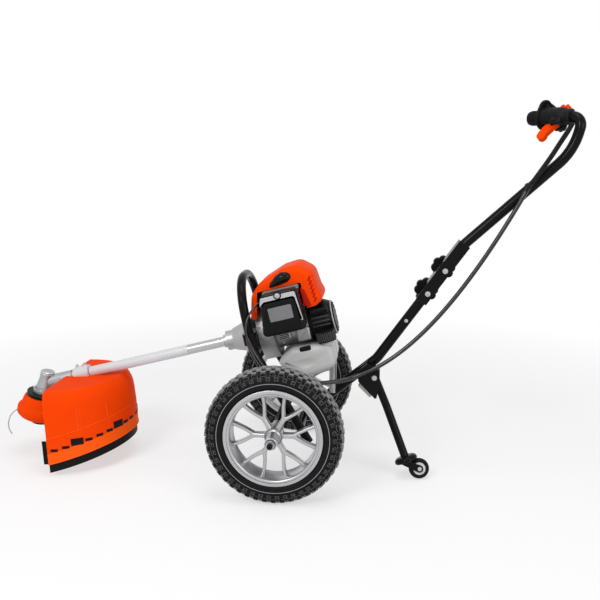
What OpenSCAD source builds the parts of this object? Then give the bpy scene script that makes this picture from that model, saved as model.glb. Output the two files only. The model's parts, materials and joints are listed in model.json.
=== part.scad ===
// Wheeled string trimmer: a small two-stroke engine and its drive tube on a two-wheel frame,
// with a folding handle pole and a castor stand. Millimetres, +Z up, +X to the handle end,
// origin on the ground under the middle of the axle.

/* [Wheels] */
// Outside diameter of a main tyre
wheel_d = 318; // [300:1:340]
// Distance between the two wheel planes
track_w = 470; // [440:1:540]
// Width of a tyre across its side walls
tyre_w = 62; // [56:1:70]
// Thickness of the tyre's casing
tyre_wall = 6; // [4:0.5:8]
// Height of the tyre over the rim flanges
tyre_h = 45; // [40:1:54]
// Width over the rim flanges
rim_w = 58; // [50:1:62]
// Radial depth of the rim flanges
flange_h = 10; // [6:0.5:14]
// Thickness of the rim barrel and flanges
rim_wall = 6; // [4:0.5:9]
// Number of forked spokes in a wheel
spoke_count = 6; // [4:1:8]
// Width of a spoke's stem
stem_w = 13; // [8:0.5:18]
// Width of a spoke's two arms
arm_w = 9; // [5:0.5:13]
// Thickness of the spokes along the axle
spoke_t = 18; // [10:1:30]
// Radius at which a stem forks
fork_r = 46; // [36:1:60]
// Length of the hub barrel
hub_len = 120; // [90:1:130]
// Outside diameter of the hub barrel
hub_d = 28; // [26:0.5:36]
// Outside diameter of the hub's middle boss
boss_d = 42; // [36:1:56]
// Diameter of the axle rod
axle_d = 12; // [10:0.5:13]
// Outside diameter of a wheel bearing
bearing_d = 21; // [20:0.5:23]

/* [Frame] */
// Outside diameter of the hoop tube
hoop_d = 22; // [18:0.5:26]
// Wall of the steel tubes
tube_wall = 2; // [1.2:0.1:3]
// Width of the hoop between its legs' centres
hoop_w = 200; // [190:1:230]
// Height of the hoop's top
hoop_top_z = 486; // [470:1:520]
// Height at which the legs bend back
hoop_bend_z = 318; // [310:1:326]
// Height of the legs' lower ends
hoop_foot_z = 92; // [70:1:110]
// Slope of the legs below the bend
leg_slope = 59; // [56:0.5:62]
// Slope of the arch above the bend
arch_slope = 78; // [74:0.5:84]
// Outside diameter of the axle beam
beam_d = 25; // [22:0.5:30]
// Height of the cross tube that carries the pole
cross_z = 130; // [124:1:134]

/* [Handle pole] */
// Outside diameter of the pole tubes
pole_d = 25; // [22:0.5:28]
// Place of the lower pole's bend behind the axle
pole_bend_x = 227; // [215:1:240]
// Height of the lower pole's bend
pole_bend_z = 281; // [270:1:292]
// Slope of the pole above its bend
pole_slope = 54.7; // [52:0.1:57]
// Distance from the bend to the fold bolt
fold_reach = 207; // [195:1:220]
// Distance from the fold bolt to the clamp bolt
clamp_reach = 69; // [60:1:80]
// Distance from the bend to the upper pole's kink
kink_reach = 355; // [345:1:370]
// Slope of the upper pole past its kink
upper_slope = 42.5; // [40:0.5:46]
// Length of the upper pole past its kink
upper_len = 322; // [300:1:340]
// Slope of the pole's last stretch
end_slope = 76; // [72:0.5:80]
// Length of the pole's last stretch
end_len = 82; // [78:1:100]
// Length of the grip
grip_len = 146; // [130:1:160]
// Turn of the grip away from straight across the machine
grip_turn = 45; // [35:1:55]
// Diameter of a star knob
knob_d = 60; // [50:1:66]
// Diameter of the pole bolts
pole_bolt_d = 8; // [6:0.5:10]

/* [Stand] */
// Diameter of the stand's leg
stand_d = 20; // [16:0.5:22]
// Length of the leg from pivot to castor plate
stand_len = 214; // [205:1:222]
// Lean of the leg to the rear
stand_lean = 22.3; // [20:0.1:25]
// Splay of the leg to the left
stand_splay = 12; // [8:0.5:16]
// Diameter of the castor wheel
castor_d = 50; // [46:1:56]
// Width of the castor tyre
castor_w = 19; // [15:0.5:22]
// Distance of the castor axle behind its swivel
castor_trail = 22; // [18:0.5:26]

/* [Drive line] */
// Slope of the crank and drive axis
drive_tilt = 14.3; // [12:0.1:16]
// Height of the crank axis above the axle
crank_z = 355; // [345:1:365]
// Distance from the axle line to the gear centre along the drive
gear_reach = 661; // [640:1:690]
// Lean of the cutter shaft from square to the tube
gear_lean = 27; // [25:0.5:30]
// Outside diameter of the drive tube
drive_tube_d = 26; // [25:0.5:27]
// Wall of the drive tube
drive_tube_wall = 1.5; // [1:0.1:2.5]
// Diameter of the drive shaft
drive_shaft_d = 8; // [7:0.5:9]
// Teeth on the pinion
pinion_teeth = 14; // [12:1:16]
// Teeth on the cutter shaft's gear
gear_teeth = 19; // [17:1:23]
// Pitch radius of the cutter shaft's gear
gear_r = 15; // [14:0.5:16]

/* [Cutting head] */
// Diameter of the trimmer head
head_d = 124; // [110:1:132]
// Height of the trimmer head's shell
head_h = 60; // [54:1:64]
// Diameter of the black holder disc
holder_d = 88; // [76:1:94]
// Diameter of the nylon line
line_d = 3; // [2.4:0.1:4]
// Half width of the guard
guard_half_w = 163; // [156:1:170]
// Length of the guard from its front edge to the rear
guard_len = 169; // [162:1:180]
// Height of the guard at its front corners
guard_h = 184; // [174:1:188]
// Height of the guard's wall at the rear
guard_rear_h = 144; // [130:1:152]
// Thickness of the guard's plastic
guard_t = 3; // [2.4:0.1:4]
// Depth of the black skirt under the guard
skirt_h = 22; // [18:1:25]

/* [Engine] */
// Cylinder bore
bore_d = 44; // [40:0.5:46]
// Piston stroke
stroke = 34; // [30:0.5:36]
// Diameter of the crankcase
case_d = 92; // [88:1:96]
// Diameter of the fan housing
fan_d = 136; // [128:1:140]
// Width across the engine cover
cover_w = 138; // [130:1:146]
// Thickness of plastic covers
cover_t = 3; // [2:0.1:4]
// Distance of the air cleaner's face from the crank axis
cleaner_reach = 112; // [108:1:118]
// Length of the air cleaner cover
cleaner_len = 106; // [98:1:110]
// Height of the air cleaner cover
cleaner_h = 102; // [96:1:106]
// Diameter of the recoil starter
starter_d = 98; // [92:1:104]
// Length of the fuel tank
tank_len = 144; // [136:1:150]
// Width of the fuel tank
tank_w = 146; // [136:1:152]
// Depth of the fuel tank
tank_h = 76; // [70:1:82]
// Wall of the fuel tank
tank_wall = 3; // [2:0.1:4]
// Diameter of the fuel cap
cap_d = 46; // [40:1:48]

/* [Hidden] */
$fn = 72;
hull_fn = 32;

// Clearances and allowances
run_gap = 0.05;
seat_gap = 0.2;
free_gap = 0.5;
weld = 1;
bend_swell = 0.05;
overrun = 2;

// Colours
black_paint = [0.06, 0.06, 0.065];
black_plastic = [0.08, 0.08, 0.085];
rubber_black = [0.05, 0.05, 0.05];
orange = [1.0, 0.25, 0.03];
cast_silver = [0.72, 0.73, 0.74];
steel = [0.6, 0.61, 0.63];
tank_white = [0.9, 0.9, 0.88];
pale_grey = [0.75, 0.75, 0.74];

// Vector helpers
function unit(v) = v / norm(v);
function turn_y(v, a) = [v[0] * cos(a) + v[2] * sin(a), v[1], -v[0] * sin(a) + v[2] * cos(a)];
function scaled(shares, a, b) = [for (s = shares) [s[0] * a, s[1] * b]];
module frame_at(p, x, y, z) {
  multmatrix([[x[0], y[0], z[0], p[0]], [x[1], y[1], z[1], p[1]], [x[2], y[2], z[2], p[2]]])
    children();
}
module from_to(p, q) {
  d = q - p;
  translate(p)
    rotate([0, acos(d[2] / norm(d)), atan2(d[1], d[0])])
      children();
}
module rod(p, q, r) {
  from_to(p, q)
    cylinder(h = norm(q - p), r = r);
}
module pipe(p, q, r, wall) {
  from_to(p, q)
    difference() {
      cylinder(h = norm(q - p), r = r);
      translate([0, 0, -overrun])
        cylinder(h = norm(q - p) + 2 * overrun, r = r - wall);
    }
}
// Revolves an outline of [radius, length] points about the X axis
module spin_x(points) {
  rotate([0, 90, 0])
    rotate_extrude()
      polygon(points);
}
module disc_x(from, to, r) {
  translate([from, 0, 0])
    rotate([0, 90, 0])
      cylinder(h = to - from, r = r);
}
// Bent tube: stretches joined by round bends
function bend_turn(pts, i) = acos(unit(pts[i] - pts[i - 1]) * unit(pts[i + 1] - pts[i]));
function bend_cut(pts, radii, i) =
  i == 0 || i == len(pts) - 1 ? 0 : radii[i - 1] * tan(bend_turn(pts, i) / 2);
module bent_tube(pts, radii, r, wall) {
  last = len(pts) - 1;
  for (i = [0 : last - 1]) {
    d = unit(pts[i + 1] - pts[i]);
    lead = i == 0 ? 0 : weld / 2;
    tail = i == last - 1 ? 0 : weld / 2;
    pipe(pts[i] + d * (bend_cut(pts, radii, i) - lead),
      pts[i + 1] - d * (bend_cut(pts, radii, i + 1) - tail), r, wall);
  }
  for (i = [1 : last - 1]) {
    into = unit(pts[i] - pts[i - 1]);
    out = unit(pts[i + 1] - pts[i]);
    inward = unit(out - (out * into) * into);
    centre = pts[i] - into * bend_cut(pts, radii, i) + inward * radii[i - 1];
    frame_at(centre, -inward, into, cross(-inward, into))
      rotate_extrude(angle = bend_turn(pts, i))
        translate([radii[i - 1], 0])
          difference() {
            circle(r + bend_swell);
            circle(r - wall - bend_swell);
          }
  }
}

// Swept tubes for cables: points with a radius at each
function sweep_dir(pts, i) = unit(pts[min(i + 1, len(pts) - 1)] - pts[max(i - 1, 0)]);
function sweep_side(d) = unit(cross(d, abs(d[1]) < 0.9 ? [0, 1, 0] : [0, 0, 1]));
function sweep_ring(p, d, r, sides) = [for (k = [0 : sides - 1])
  p + r * (cos(360 * k / sides) * sweep_side(d) + sin(360 * k / sides) * cross(d, sweep_side(d)))];
function ring_faces(rings, sides, base) = [for (i = [0 : rings - 2], k = [0 : sides - 1], half = [0, 1])
  let (a = base + i * sides + k, b = base + i * sides + (k + 1) % sides)
  half == 0 ? [a, b, b + sides] : [a, b + sides, a + sides]];
function flipped(faces) = [for (f = faces) [f[0], f[2], f[1]]];
module sweep(pts, radii, sides) {
  n = len(pts);
  skin = [for (i = [0 : n - 1]) each sweep_ring(pts[i], sweep_dir(pts, i), radii[i], sides)];
  caps = [for (k = [1 : sides - 2], side = [0, 1])
    side == 0 ? [0, k + 1, k] : [(n - 1) * sides, (n - 1) * sides + k, (n - 1) * sides + k + 1]];
  polyhedron(skin, flipped(concat(ring_faces(n, sides, 0), caps)));
}
// A swept hose with a plain bore and an outside radius at each point
module hose(pts, radii, bore_r, sides) {
  n = len(pts);
  skin = [for (i = [0 : n - 1]) each sweep_ring(pts[i], sweep_dir(pts, i), radii[i], sides)];
  bore = [for (i = [0 : n - 1]) each sweep_ring(pts[i], sweep_dir(pts, i), bore_r, sides)];
  far = n * sides;
  lips = [for (k = [0 : sides - 1], end = [0, n - 1], half = [0, 1])
    let (a = end * sides + k, b = end * sides + (k + 1) % sides,
      tri = half == 0 ? [a, a + far, b + far] : [a, b + far, b])
    end == 0 ? tri : [tri[0], tri[2], tri[1]]];
  faces = concat(ring_faces(n, sides, 0), flipped(ring_faces(n, sides, far)), lips);
  polyhedron(concat(skin, bore), flipped(faces));
}

// Reference frames
axle_z = wheel_d / 2;
module drive_frame() {
  translate([0, 0, crank_z])
    rotate([0, -drive_tilt, 0])
      children();
}
module gear_frame() {
  drive_frame()
    translate([-gear_reach, 0, 0])
      rotate([0, gear_lean, 0])
        children();
}
module wheel_place(side) {
  translate([0, side * track_w / 2, axle_z])
    rotate([-90 * side, 0, 0])
      children();
}

// Wheels
wheel_r = wheel_d / 2;
rim_r = wheel_r - tyre_h;
bead_r = rim_r - flange_h;
bead_half_w = rim_w / 2 - rim_wall;
// Tyre section: shares of the height over the rim and of half width
tyre_shares = [[0.06, 0.84], [0.2, 0.96], [0.48, 1], [0.72, 0.95], [0.86, 0.84], [0.96, 0.62],
  [1, 0.36]];
tyre_side = [for (s = tyre_shares) [rim_r + seat_gap + s[0] * (wheel_r - rim_r - seat_gap),
  s[1] * tyre_w / 2]];
bead_half = [[bead_r + seat_gap, bead_half_w - seat_gap], [rim_r + seat_gap, bead_half_w - seat_gap]];
tyre_half = concat(bead_half, tyre_side);
function both_sides(half) = concat(half, [for (i = [len(half) - 1 : -1 : 0]) [half[i][0], -half[i][1]]]);
cavity_half = [for (p = tyre_half) [p[0] - tyre_wall * (p[0] > rim_r ? 1 : 0),
  max(p[1] - tyre_wall, tyre_wall)]];
module tyre() {
  color(rubber_black)
    rotate_extrude()
      difference() {
        polygon(both_sides(tyre_half));
        polygon(both_sides([for (p = cavity_half) if (p[0] > bead_r + tyre_wall) p]));
      }
}
rim_half = [[bead_r - rim_wall, rim_w / 2], [rim_r, rim_w / 2], [rim_r, bead_half_w],
  [bead_r, bead_half_w]];
spoke_tip_r = bead_r - rim_wall / 2;
bearing_w = 6;
hub_bore_r = axle_d / 2 + free_gap;
arm_turn = 90 / spoke_count;
module spoke_outline() {
  tip = spoke_tip_r * [cos(arm_turn), sin(arm_turn)];
  arm = tip - [fork_r, 0];
  translate([0, -stem_w / 2])
    square([fork_r, stem_w]);
  translate([fork_r, 0])
    circle(stem_w / 2);
  for (side = [-1, 1])
    translate([fork_r, 0])
      rotate(side * atan2(arm[1], arm[0]))
        translate([0, -arm_w / 2])
          square([norm(arm), arm_w]);
}
module rim() {
  color(cast_silver)
    difference() {
      union() {
        rotate_extrude()
          polygon(both_sides(rim_half));
        for (i = [0 : spoke_count - 1])
          rotate(i * 360 / spoke_count)
            translate([0, 0, -spoke_t / 2])
              linear_extrude(spoke_t)
                spoke_outline();
        translate([0, 0, -hub_len / 2])
          cylinder(h = hub_len, d = hub_d);
        translate([0, 0, -spoke_t])
          cylinder(h = 2 * spoke_t, d = boss_d);
      }
      translate([0, 0, -hub_len / 2 - overrun])
        cylinder(h = hub_len + 2 * overrun, r = hub_bore_r);
      for (end = [-1, 1])
        translate([0, 0, end * (hub_len / 2 - bearing_w / 2 + overrun / 2)])
          cylinder(h = bearing_w + overrun, d = bearing_d + 2 * run_gap, center = true);
    }
}
module left_tyre() wheel_place(-1)
  tyre();
module right_tyre() wheel_place(1)
  tyre();
module left_rim() wheel_place(-1)
  rim();
module right_rim() wheel_place(1)
  rim();

// Axle rod with its washers, nuts and end caps
axle_washer_d = 20;
axle_washer_t = 2;
axle_nut_d = 19;
axle_nut_t = 8;
axle_end_t = 4;
axle_half = track_w / 2 + hub_len / 2 + free_gap + axle_washer_t + axle_nut_t + axle_end_t;
module axle() {
  color(steel)
    translate([0, 0, axle_z])
      rotate([90, 0, 0]) {
        cylinder(h = 2 * axle_half, d = axle_d, center = true);
        for (side = [0, 1])
          mirror([0, 0, side])
            translate([0, 0, track_w / 2 + hub_len / 2 + free_gap]) {
              cylinder(h = axle_washer_t, d = axle_washer_d);
              translate([0, 0, axle_washer_t])
                cylinder(h = axle_nut_t, d = axle_nut_d, $fn = 6);
            }
      }
}

// Gear geometry
cutter_angle = 90 + gear_lean;
gear_ratio = gear_teeth / pinion_teeth;
pinion_cone = atan2(sin(cutter_angle), gear_ratio + cos(cutter_angle));
gear_cone = cutter_angle - pinion_cone;
cone_len = gear_r / sin(gear_cone);
pinion_r = cone_len * sin(pinion_cone);
tooth_module = 2 * gear_r / gear_teeth;
face_share = 0.25;
tip_share = 0.55;
root_share = 1.05;
sunk_share = 0.8;
flank_root_share = 0.23;
flank_tip_share = 0.07;
gear_shaft_d = 10;
gear_top_d = 6;
gear_back = 5;
pinion_shaft_d = 10;
pinion_back = 5;
cutter_bearing_d = 28;
cutter_bearing_t = 8;
pinion_bearing_d = 22;
pinion_bearing_t = 7;
// Places from the gear centre
gear_back_s = cone_len * cos(gear_cone) + gear_back;
cutter_bearing_s = gear_back_s + free_gap;
pinion_back_u = cone_len * cos(pinion_cone) + pinion_back;
pinion_bearing_u = pinion_back_u + free_gap;
tube_front_u = pinion_bearing_u + pinion_bearing_t + free_gap;
barrel_top_s = -30;
top_cap_t = 5;
top_bearing_s = barrel_top_s + top_cap_t;
top_bearing_d = 19;
top_bearing_t = 6;
flange_s = 26;

// Crank geometry
crank_bearing_d = 35;
crank_bearing_t = 11;
crank_shaft_d = 15;
web_d = 62;
web_t = 11;
rod_gap = 12;
case_wall = 4;
crank_u = 22;
web_half = rod_gap / 2 + web_t;
bearing_face = web_half + free_gap;
case_half = bearing_face + crank_bearing_t + case_wall;
bush_t = 18;
bush_shares = [0.3, 0.62];
tube_rear_u = -140;
tube_len = gear_reach + tube_rear_u - tube_front_u;

module ring(d, bore, t) {
  difference() {
    cylinder(h = t, d = d);
    translate([0, 0, -overrun])
      cylinder(h = t + 2 * overrun, d = bore);
  }
}
// Bearings and tube bushes
module bearings() {
  color(steel) {
    for (side = [-1, 1], end = [-1, 1])
      wheel_place(side)
        translate([0, 0, end * (hub_len / 2 - bearing_w / 2) - bearing_w / 2])
          ring(bearing_d, axle_d, bearing_w);
    drive_frame() {
      for (end = [0, 1])
        translate([crank_u, 0, 0])
          mirror([end, 0, 0])
            translate([bearing_face, 0, 0])
              rotate([0, 90, 0])
                ring(crank_bearing_d, crank_shaft_d + 2 * run_gap, crank_bearing_t);
      translate([-gear_reach + pinion_bearing_u, 0, 0])
        rotate([0, 90, 0])
          ring(pinion_bearing_d, pinion_shaft_d + 2 * run_gap, pinion_bearing_t);
      for (share = bush_shares)
        translate([-gear_reach + tube_front_u + share * tube_len, 0, 0])
          rotate([0, 90, 0])
            ring(drive_tube_d - 2 * drive_tube_wall, drive_shaft_d + 2 * run_gap, bush_t);
    }
    gear_frame() {
      translate([0, 0, -cutter_bearing_s - cutter_bearing_t])
        ring(cutter_bearing_d, gear_shaft_d + 2 * run_gap, cutter_bearing_t);
      translate([0, 0, -top_bearing_s - top_bearing_t])
        ring(top_bearing_d, gear_top_d + 2 * run_gap, top_bearing_t);
    }
  }
}

// Welded wheel frame: hoop, axle beam and cross tube
hoop_r = hoop_d / 2;
beam_r = beam_d / 2;
leg_near_axle = (hoop_r + beam_r - weld) * [sin(leg_slope), cos(leg_slope)];
function leg_x(z) = leg_near_axle[0] - (z - axle_z - leg_near_axle[1]) / tan(leg_slope);
hoop_top_x = leg_x(hoop_bend_z) - (hoop_top_z - hoop_bend_z) / tan(arch_slope);
hoop_bend_r = 90;
hoop_corner_r = 84;
beam_half = track_w / 2 - hub_len / 2 - free_gap;
hoop_half = [[leg_x(hoop_foot_z), -hoop_w / 2, hoop_foot_z],
  [leg_x(hoop_bend_z), -hoop_w / 2, hoop_bend_z], [hoop_top_x, -hoop_w / 2, hoop_top_z]];
function mirrored_y(p) = [p[0], -p[1], p[2]];
hoop_points = concat(hoop_half, [for (i = [len(hoop_half) - 1 : -1 : 0]) mirrored_y(hoop_half[i])]);
cross_at = [leg_x(cross_z), 0, cross_z];
module wheel_frame() {
  color(black_paint)
    difference() {
      union() {
        bent_tube(hoop_points, [hoop_bend_r, hoop_corner_r, hoop_corner_r, hoop_bend_r],
          hoop_r, tube_wall);
        rod([0, -beam_half, axle_z], [0, beam_half, axle_z], beam_r);
        rod(cross_at - [0, hoop_w / 2, 0], cross_at + [0, hoop_w / 2, 0], hoop_r);
      }
      rod([0, -beam_half - overrun, axle_z], [0, beam_half + overrun, axle_z], axle_d / 2 + seat_gap);
    }
}

// Handle pole
pole_r = pole_d / 2;
pole_dir = [cos(pole_slope), 0, sin(pole_slope)];
pole_bend = [pole_bend_x, 0, pole_bend_z];
pole_bend_radius = 60;
fold_at = pole_bend + fold_reach * pole_dir;
clamp_at = fold_at + clamp_reach * pole_dir;
lower_end_past = 22;
lower_pole_end = clamp_at + lower_end_past * pole_dir;
slot_slack = 3;
slot_w = pole_bolt_d + slot_slack;
slot_back = 0.5;
lower_start = cross_at + (hoop_r + seat_gap) * unit(pole_bend - cross_at);
module pole_frame() {
  translate(pole_bend)
    rotate([0, -pole_slope, 0])
      children();
}
module lower_pole() {
  color(black_paint)
    difference() {
      bent_tube([lower_start, pole_bend, lower_pole_end], [pole_bend_radius], pole_r, tube_wall);
      rod(fold_at - [0, pole_d, 0], fold_at + [0, pole_d, 0], pole_bolt_d / 2 + run_gap);
      pole_frame() {
        translate([fold_reach + clamp_reach - slot_w / 2 - slot_back, -pole_d,
          -pole_bolt_d / 2 - free_gap])
          cube([slot_w, 2 * pole_d, pole_d]);
      }
    }
}
channel_t = 3;
channel_w = 28;
channel_below = 26;
web_clear = 21;
channel_in = pole_r + free_gap;
channel_out = channel_in + channel_t;
kink = pole_bend + kink_reach * pole_dir;
upper_dir = [cos(upper_slope), 0, sin(upper_slope)];
end_dir = [cos(end_slope), 0, sin(end_slope)];
sweep_point = kink + upper_len * upper_dir;
grip_point = sweep_point + end_len * end_dir;
grip_dir = [-sin(grip_turn), cos(grip_turn), 0];
upper_start_past = 6;
upper_start_u = fold_reach + clamp_reach + lower_end_past + upper_start_past;
upper_start = pole_bend + upper_start_u * pole_dir;
kink_radius = 50;
sweep_radius = 140;
grip_bend_radius = 24;
grip_cap_t = 10;
grip_tube_len = grip_len - grip_cap_t;
module upper_pole() {
  color(black_paint) {
    bent_tube([upper_start, kink, sweep_point, grip_point, grip_point + grip_tube_len * grip_dir],
      [kink_radius, sweep_radius, grip_bend_radius], pole_r, tube_wall);
    difference() {
      pole_frame() {
        for (side = [-1, 1])
          translate([fold_reach - channel_below, side * (channel_in + channel_t / 2) - channel_t / 2,
            -channel_w / 2])
            cube([kink_reach - fold_reach + channel_below, channel_t, channel_w / 2 + channel_out]);
        translate([fold_reach + web_clear, -channel_out, channel_in])
          cube([kink_reach - fold_reach - web_clear, 2 * channel_out, channel_t]);
        translate([upper_start_u, -channel_in - weld / 2, 0])
          cube([kink_reach - upper_start_u, 2 * channel_in + weld, channel_in + weld / 2]);
      }
      for (at = [fold_at, clamp_at])
        rod(at - [0, pole_d, 0], at + [0, pole_d, 0], pole_bolt_d / 2 + run_gap);
      from_to(upper_start - pole_dir, kink)
        cylinder(h = kink_reach, r = pole_r - tube_wall);
    }
  }
}
bolt_head_d = 13;
bolt_head_h = 5;
knob_reach = 22;
knob_t = 18;
knob_stem_d = 24;
knob_lobes = 7;
lobe_share = 0.19;
bolt_past = 3;
module pole_bolts() {
  color(steel)
    for (at = [fold_at, clamp_at]) {
      rod(at - [0, channel_out, 0], at + [0, channel_out + knob_reach + knob_t - bolt_past, 0],
        pole_bolt_d / 2);
      rod(at - [0, channel_out + bolt_head_h, 0], at - [0, channel_out + run_gap, 0], bolt_head_d / 2);
    }
}
module star_knob(at) {
  color(black_plastic)
    translate(at + [0, channel_out + seat_gap, 0])
      rotate([-90, 0, 0])
        difference() {
          union() {
            cylinder(h = knob_reach, d = knob_stem_d);
            translate([0, 0, knob_reach - weld]) {
              cylinder(h = knob_t, d = knob_d * (1 - lobe_share));
              for (i = [0 : knob_lobes - 1])
                rotate(i * 360 / knob_lobes)
                  translate([knob_d * (1 - lobe_share) / 2 - weld, 0, 0])
                    cylinder(h = knob_t, d = knob_d * lobe_share + 2 * weld);
            }
          }
          translate([0, 0, -overrun])
            cylinder(h = knob_reach + knob_t, d = pole_bolt_d + 2 * run_gap);
        }
}
module upper_knob() star_knob(clamp_at);
module lower_knob() star_knob(fold_at);

// Throttle control on the grip end of the pole
control_roll = 32;
grip_up = cos(control_roll) * [0, 0, 1] - sin(control_roll) * cross([0, 0, 1], grip_dir);
module grip_frame() {
  frame_at(grip_point, grip_dir, cross(grip_up, grip_dir), grip_up)
    children();
}
body_from = 44;
body_to = 104;
body_r = 23;
collar_from = 30;
collar_r = 19;
flange_t = 6;
rest_r = 29;
rest_rise = 16;
grip_r = 17;
grip_dome = 8;
trigger_pivot_u = 62;
trigger_drop = 15;
trigger_pin_d = 5;
trigger_t = 13;
trigger_slot_w = trigger_t + 2 * free_gap;
trigger_slot_ahead = 9;
trigger_slot_from = trigger_pivot_u - trigger_slot_ahead;
trigger_slot_top = -13.5;
switch_u = 56;
switch_len = 24;
switch_w = 12;
switch_h = 11;
switch_travel = 4;
switch_seat = 19;
module control_body() {
  color(black_plastic)
    grip_frame()
      difference() {
        union() {
          spin_x([[0, collar_from], [collar_r, collar_from], [collar_r, body_from],
            [body_r, body_from + grip_dome], [body_r, body_to], [rest_r, body_to],
            [rest_r, body_to + flange_t], [grip_r, body_to + flange_t], [grip_r, grip_len - grip_dome],
            [grip_r - grip_dome, grip_len], [0, grip_len]]);
          hull()
            for (rise = [0, rest_rise])
              translate([0, 0, rise])
                disc_x(body_to, body_to + flange_t, rest_r);
          translate([body_from + grip_dome, -body_r / 2, -trigger_drop - 2 * trigger_pin_d])
            cube([trigger_pivot_u - body_from, body_r, trigger_drop]);
        }
        disc_x(0, grip_tube_len + free_gap, pole_r + run_gap);
        translate([trigger_slot_from, -trigger_slot_w / 2, -2 * rest_r])
          cube([body_to - overrun - trigger_slot_from, trigger_slot_w, 2 * rest_r + trigger_slot_top]);
        translate([trigger_pivot_u, 0, -trigger_drop - trigger_pin_d])
          rotate([90, 0, 0])
            cylinder(h = 2 * body_r + overrun, d = trigger_pin_d + 2 * run_gap, center = true);
        translate([switch_u - switch_len / 2 - switch_travel - free_gap, -switch_w / 2 - free_gap,
          switch_seat])
          cube([switch_len + 2 * switch_travel + 2 * free_gap, switch_w + 2 * free_gap, body_r]);
      }
}
trigger_len = 38;
trigger_h = 38;
trigger_lever_t = 15;
trigger_tip_r = 11;
module throttle_trigger() {
  color(orange)
    grip_frame()
      translate([trigger_pivot_u, 0, -trigger_drop - trigger_pin_d]) {
        rotate([90, 0, 0]) {
          cylinder(h = 2 * body_r - overrun, d = trigger_pin_d, center = true);
          cylinder(h = trigger_t, d = 2 * trigger_pin_d, center = true);
          linear_extrude(trigger_t, center = true)
            polygon([[0, trigger_pin_d / 2], [trigger_len - trigger_tip_r, -trigger_pin_d],
              [trigger_len, -trigger_h + trigger_tip_r],
              [trigger_len - trigger_lever_t, -trigger_h], [0, -trigger_pin_d]]);
          translate([trigger_len - trigger_tip_r, -trigger_h + trigger_tip_r / 2])
            cylinder(h = trigger_t, r = trigger_tip_r, center = true);
        }
      }
}
switch_pad_h = 5;
module stop_switch() {
  color(orange)
    grip_frame()
      translate([switch_u, 0, switch_seat + seat_gap]) {
        translate([-switch_len / 2, -switch_w / 2, 0])
          cube([switch_len, switch_w, switch_h - switch_pad_h]);
        for (end = [-1, 1])
          translate([end * switch_len / 4, 0, switch_h - switch_pad_h])
            rotate([90, 0, 0])
              cylinder(h = switch_w, d = switch_len / 2, center = true);
      }
}

// Route of the throttle cable
cable_route = [[-51, -80, 435], [-58, -92, 431], [-69, -106, 419], [-78, -117, 402], [-81, -123, 386],
  [-81, -126, 370], [-78, -127, 356], [-73, -127, 341], [-66, -127, 326], [-56, -127, 308],
  [-44, -126, 290], [-32, -124, 276], [-18, -121, 264], [0, -116, 253], [20, -110, 246], [48, -101, 241],
  [80, -88, 237], [110, -70, 235], [138, -57, 236], [162, -51, 239], [185, -48, 244], [207, -47.5, 253],
  [228, -47.5, 264], [249, -45, 281], [269, -41, 301], [290, -36, 323], [310, -33, 345], [332, -31, 370],
  [354, -31, 396], [377, -31, 423], [400, -31, 451], [418, -31, 478], [435, -31, 505], [451, -31, 532],
  [466, -31, 559], [480, -30, 579], [494, -28, 599], [520, -24, 633], [546, -20, 669], [571, -19, 706]];
conduit_route = [[571.2, -19, 706.3], [595, -20, 742], [618, -21, 778], [638, -21, 812], [651, -19, 833],
  [660, -17, 850]];
sleeve_from = 5;
thin_r = 2.5;
sleeve_r = 4.5;
cable_sides = 8;
module throttle_cable() {
  color(rubber_black)
    sweep(cable_route, [for (i = [0 : len(cable_route) - 1]) i < sleeve_from ? thin_r : sleeve_r],
      cable_sides);
}
// Ribbed conduit, ringed twice for each rib
conduit_ribs = 46;
rib_r = 6;
rib_root_r = 5;
conduit_bore_r = 3.5;
rib_fill_share = 0.5;
function route_at(pts, t) =
  let (i = min(floor(t), len(pts) - 2), f = t - i, a = pts[max(i - 1, 0)], b = pts[i], c = pts[i + 1],
    d = pts[min(i + 2, len(pts) - 1)])
  b + 0.5 * f * (c - a + f * (2 * a - 5 * b + 4 * c - d + f * (3 * (b - c) + d - a)));
conduit_spans = len(conduit_route) - 1;
conduit_rings = 2 * conduit_ribs + 2;
conduit_points = [for (i = [0 : conduit_rings - 1])
  route_at(conduit_route, conduit_spans * (floor(i / 2) + (i % 2) * rib_fill_share) / (conduit_ribs + 1))];
conduit_radii = [for (i = [0 : conduit_rings - 1]) i % 2 == 0 ? rib_root_r : rib_r];
module cable_conduit() {
  color(black_plastic)
    hose(conduit_points, conduit_radii, conduit_bore_r, cable_sides);
}

// Stand: bracket on the pole, leg and castor
stand_pivot = [222, -28, 243];
plate_t = 4;
bracket_in = pole_r;
bracket_gap = 22;
bracket_y_near = -bracket_in - 2 * plate_t - bracket_gap - seat_gap;
eye_d = 26;
pivot_bolt_d = 10;
// Corners of the bracket's plates, from the pivot
bracket_reach = 60;
bracket_shares = [[-0.72, 0.22], [-0.3, 0.58], [0.22, 0.3], [0.22, -0.3], [0.1, -0.9], [0.02, -0.9],
  [-0.65, -0.2]];
module bracket_plate(y) {
  translate([stand_pivot[0], y + plate_t, stand_pivot[2]])
    rotate([90, 0, 0])
      linear_extrude(plate_t)
        polygon(scaled(bracket_shares, bracket_reach, bracket_reach));
}
function pivot_at(y) = [stand_pivot[0], y, stand_pivot[2]];
module stand_bracket() {
  color(black_paint) {
    bracket_plate(-bracket_in - plate_t - seat_gap);
    bracket_plate(bracket_y_near);
    rod(pivot_at(bracket_y_near - plate_t), pivot_at(-bracket_in - plate_t), pivot_bolt_d / 2);
    rod(pivot_at(bracket_y_near - plate_t), pivot_at(bracket_y_near), pivot_bolt_d);
  }
}
stop_t = 13;
stop_len = 40;
stop_turn = 45;
stop_shares = [0.34, 0.57];
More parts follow.
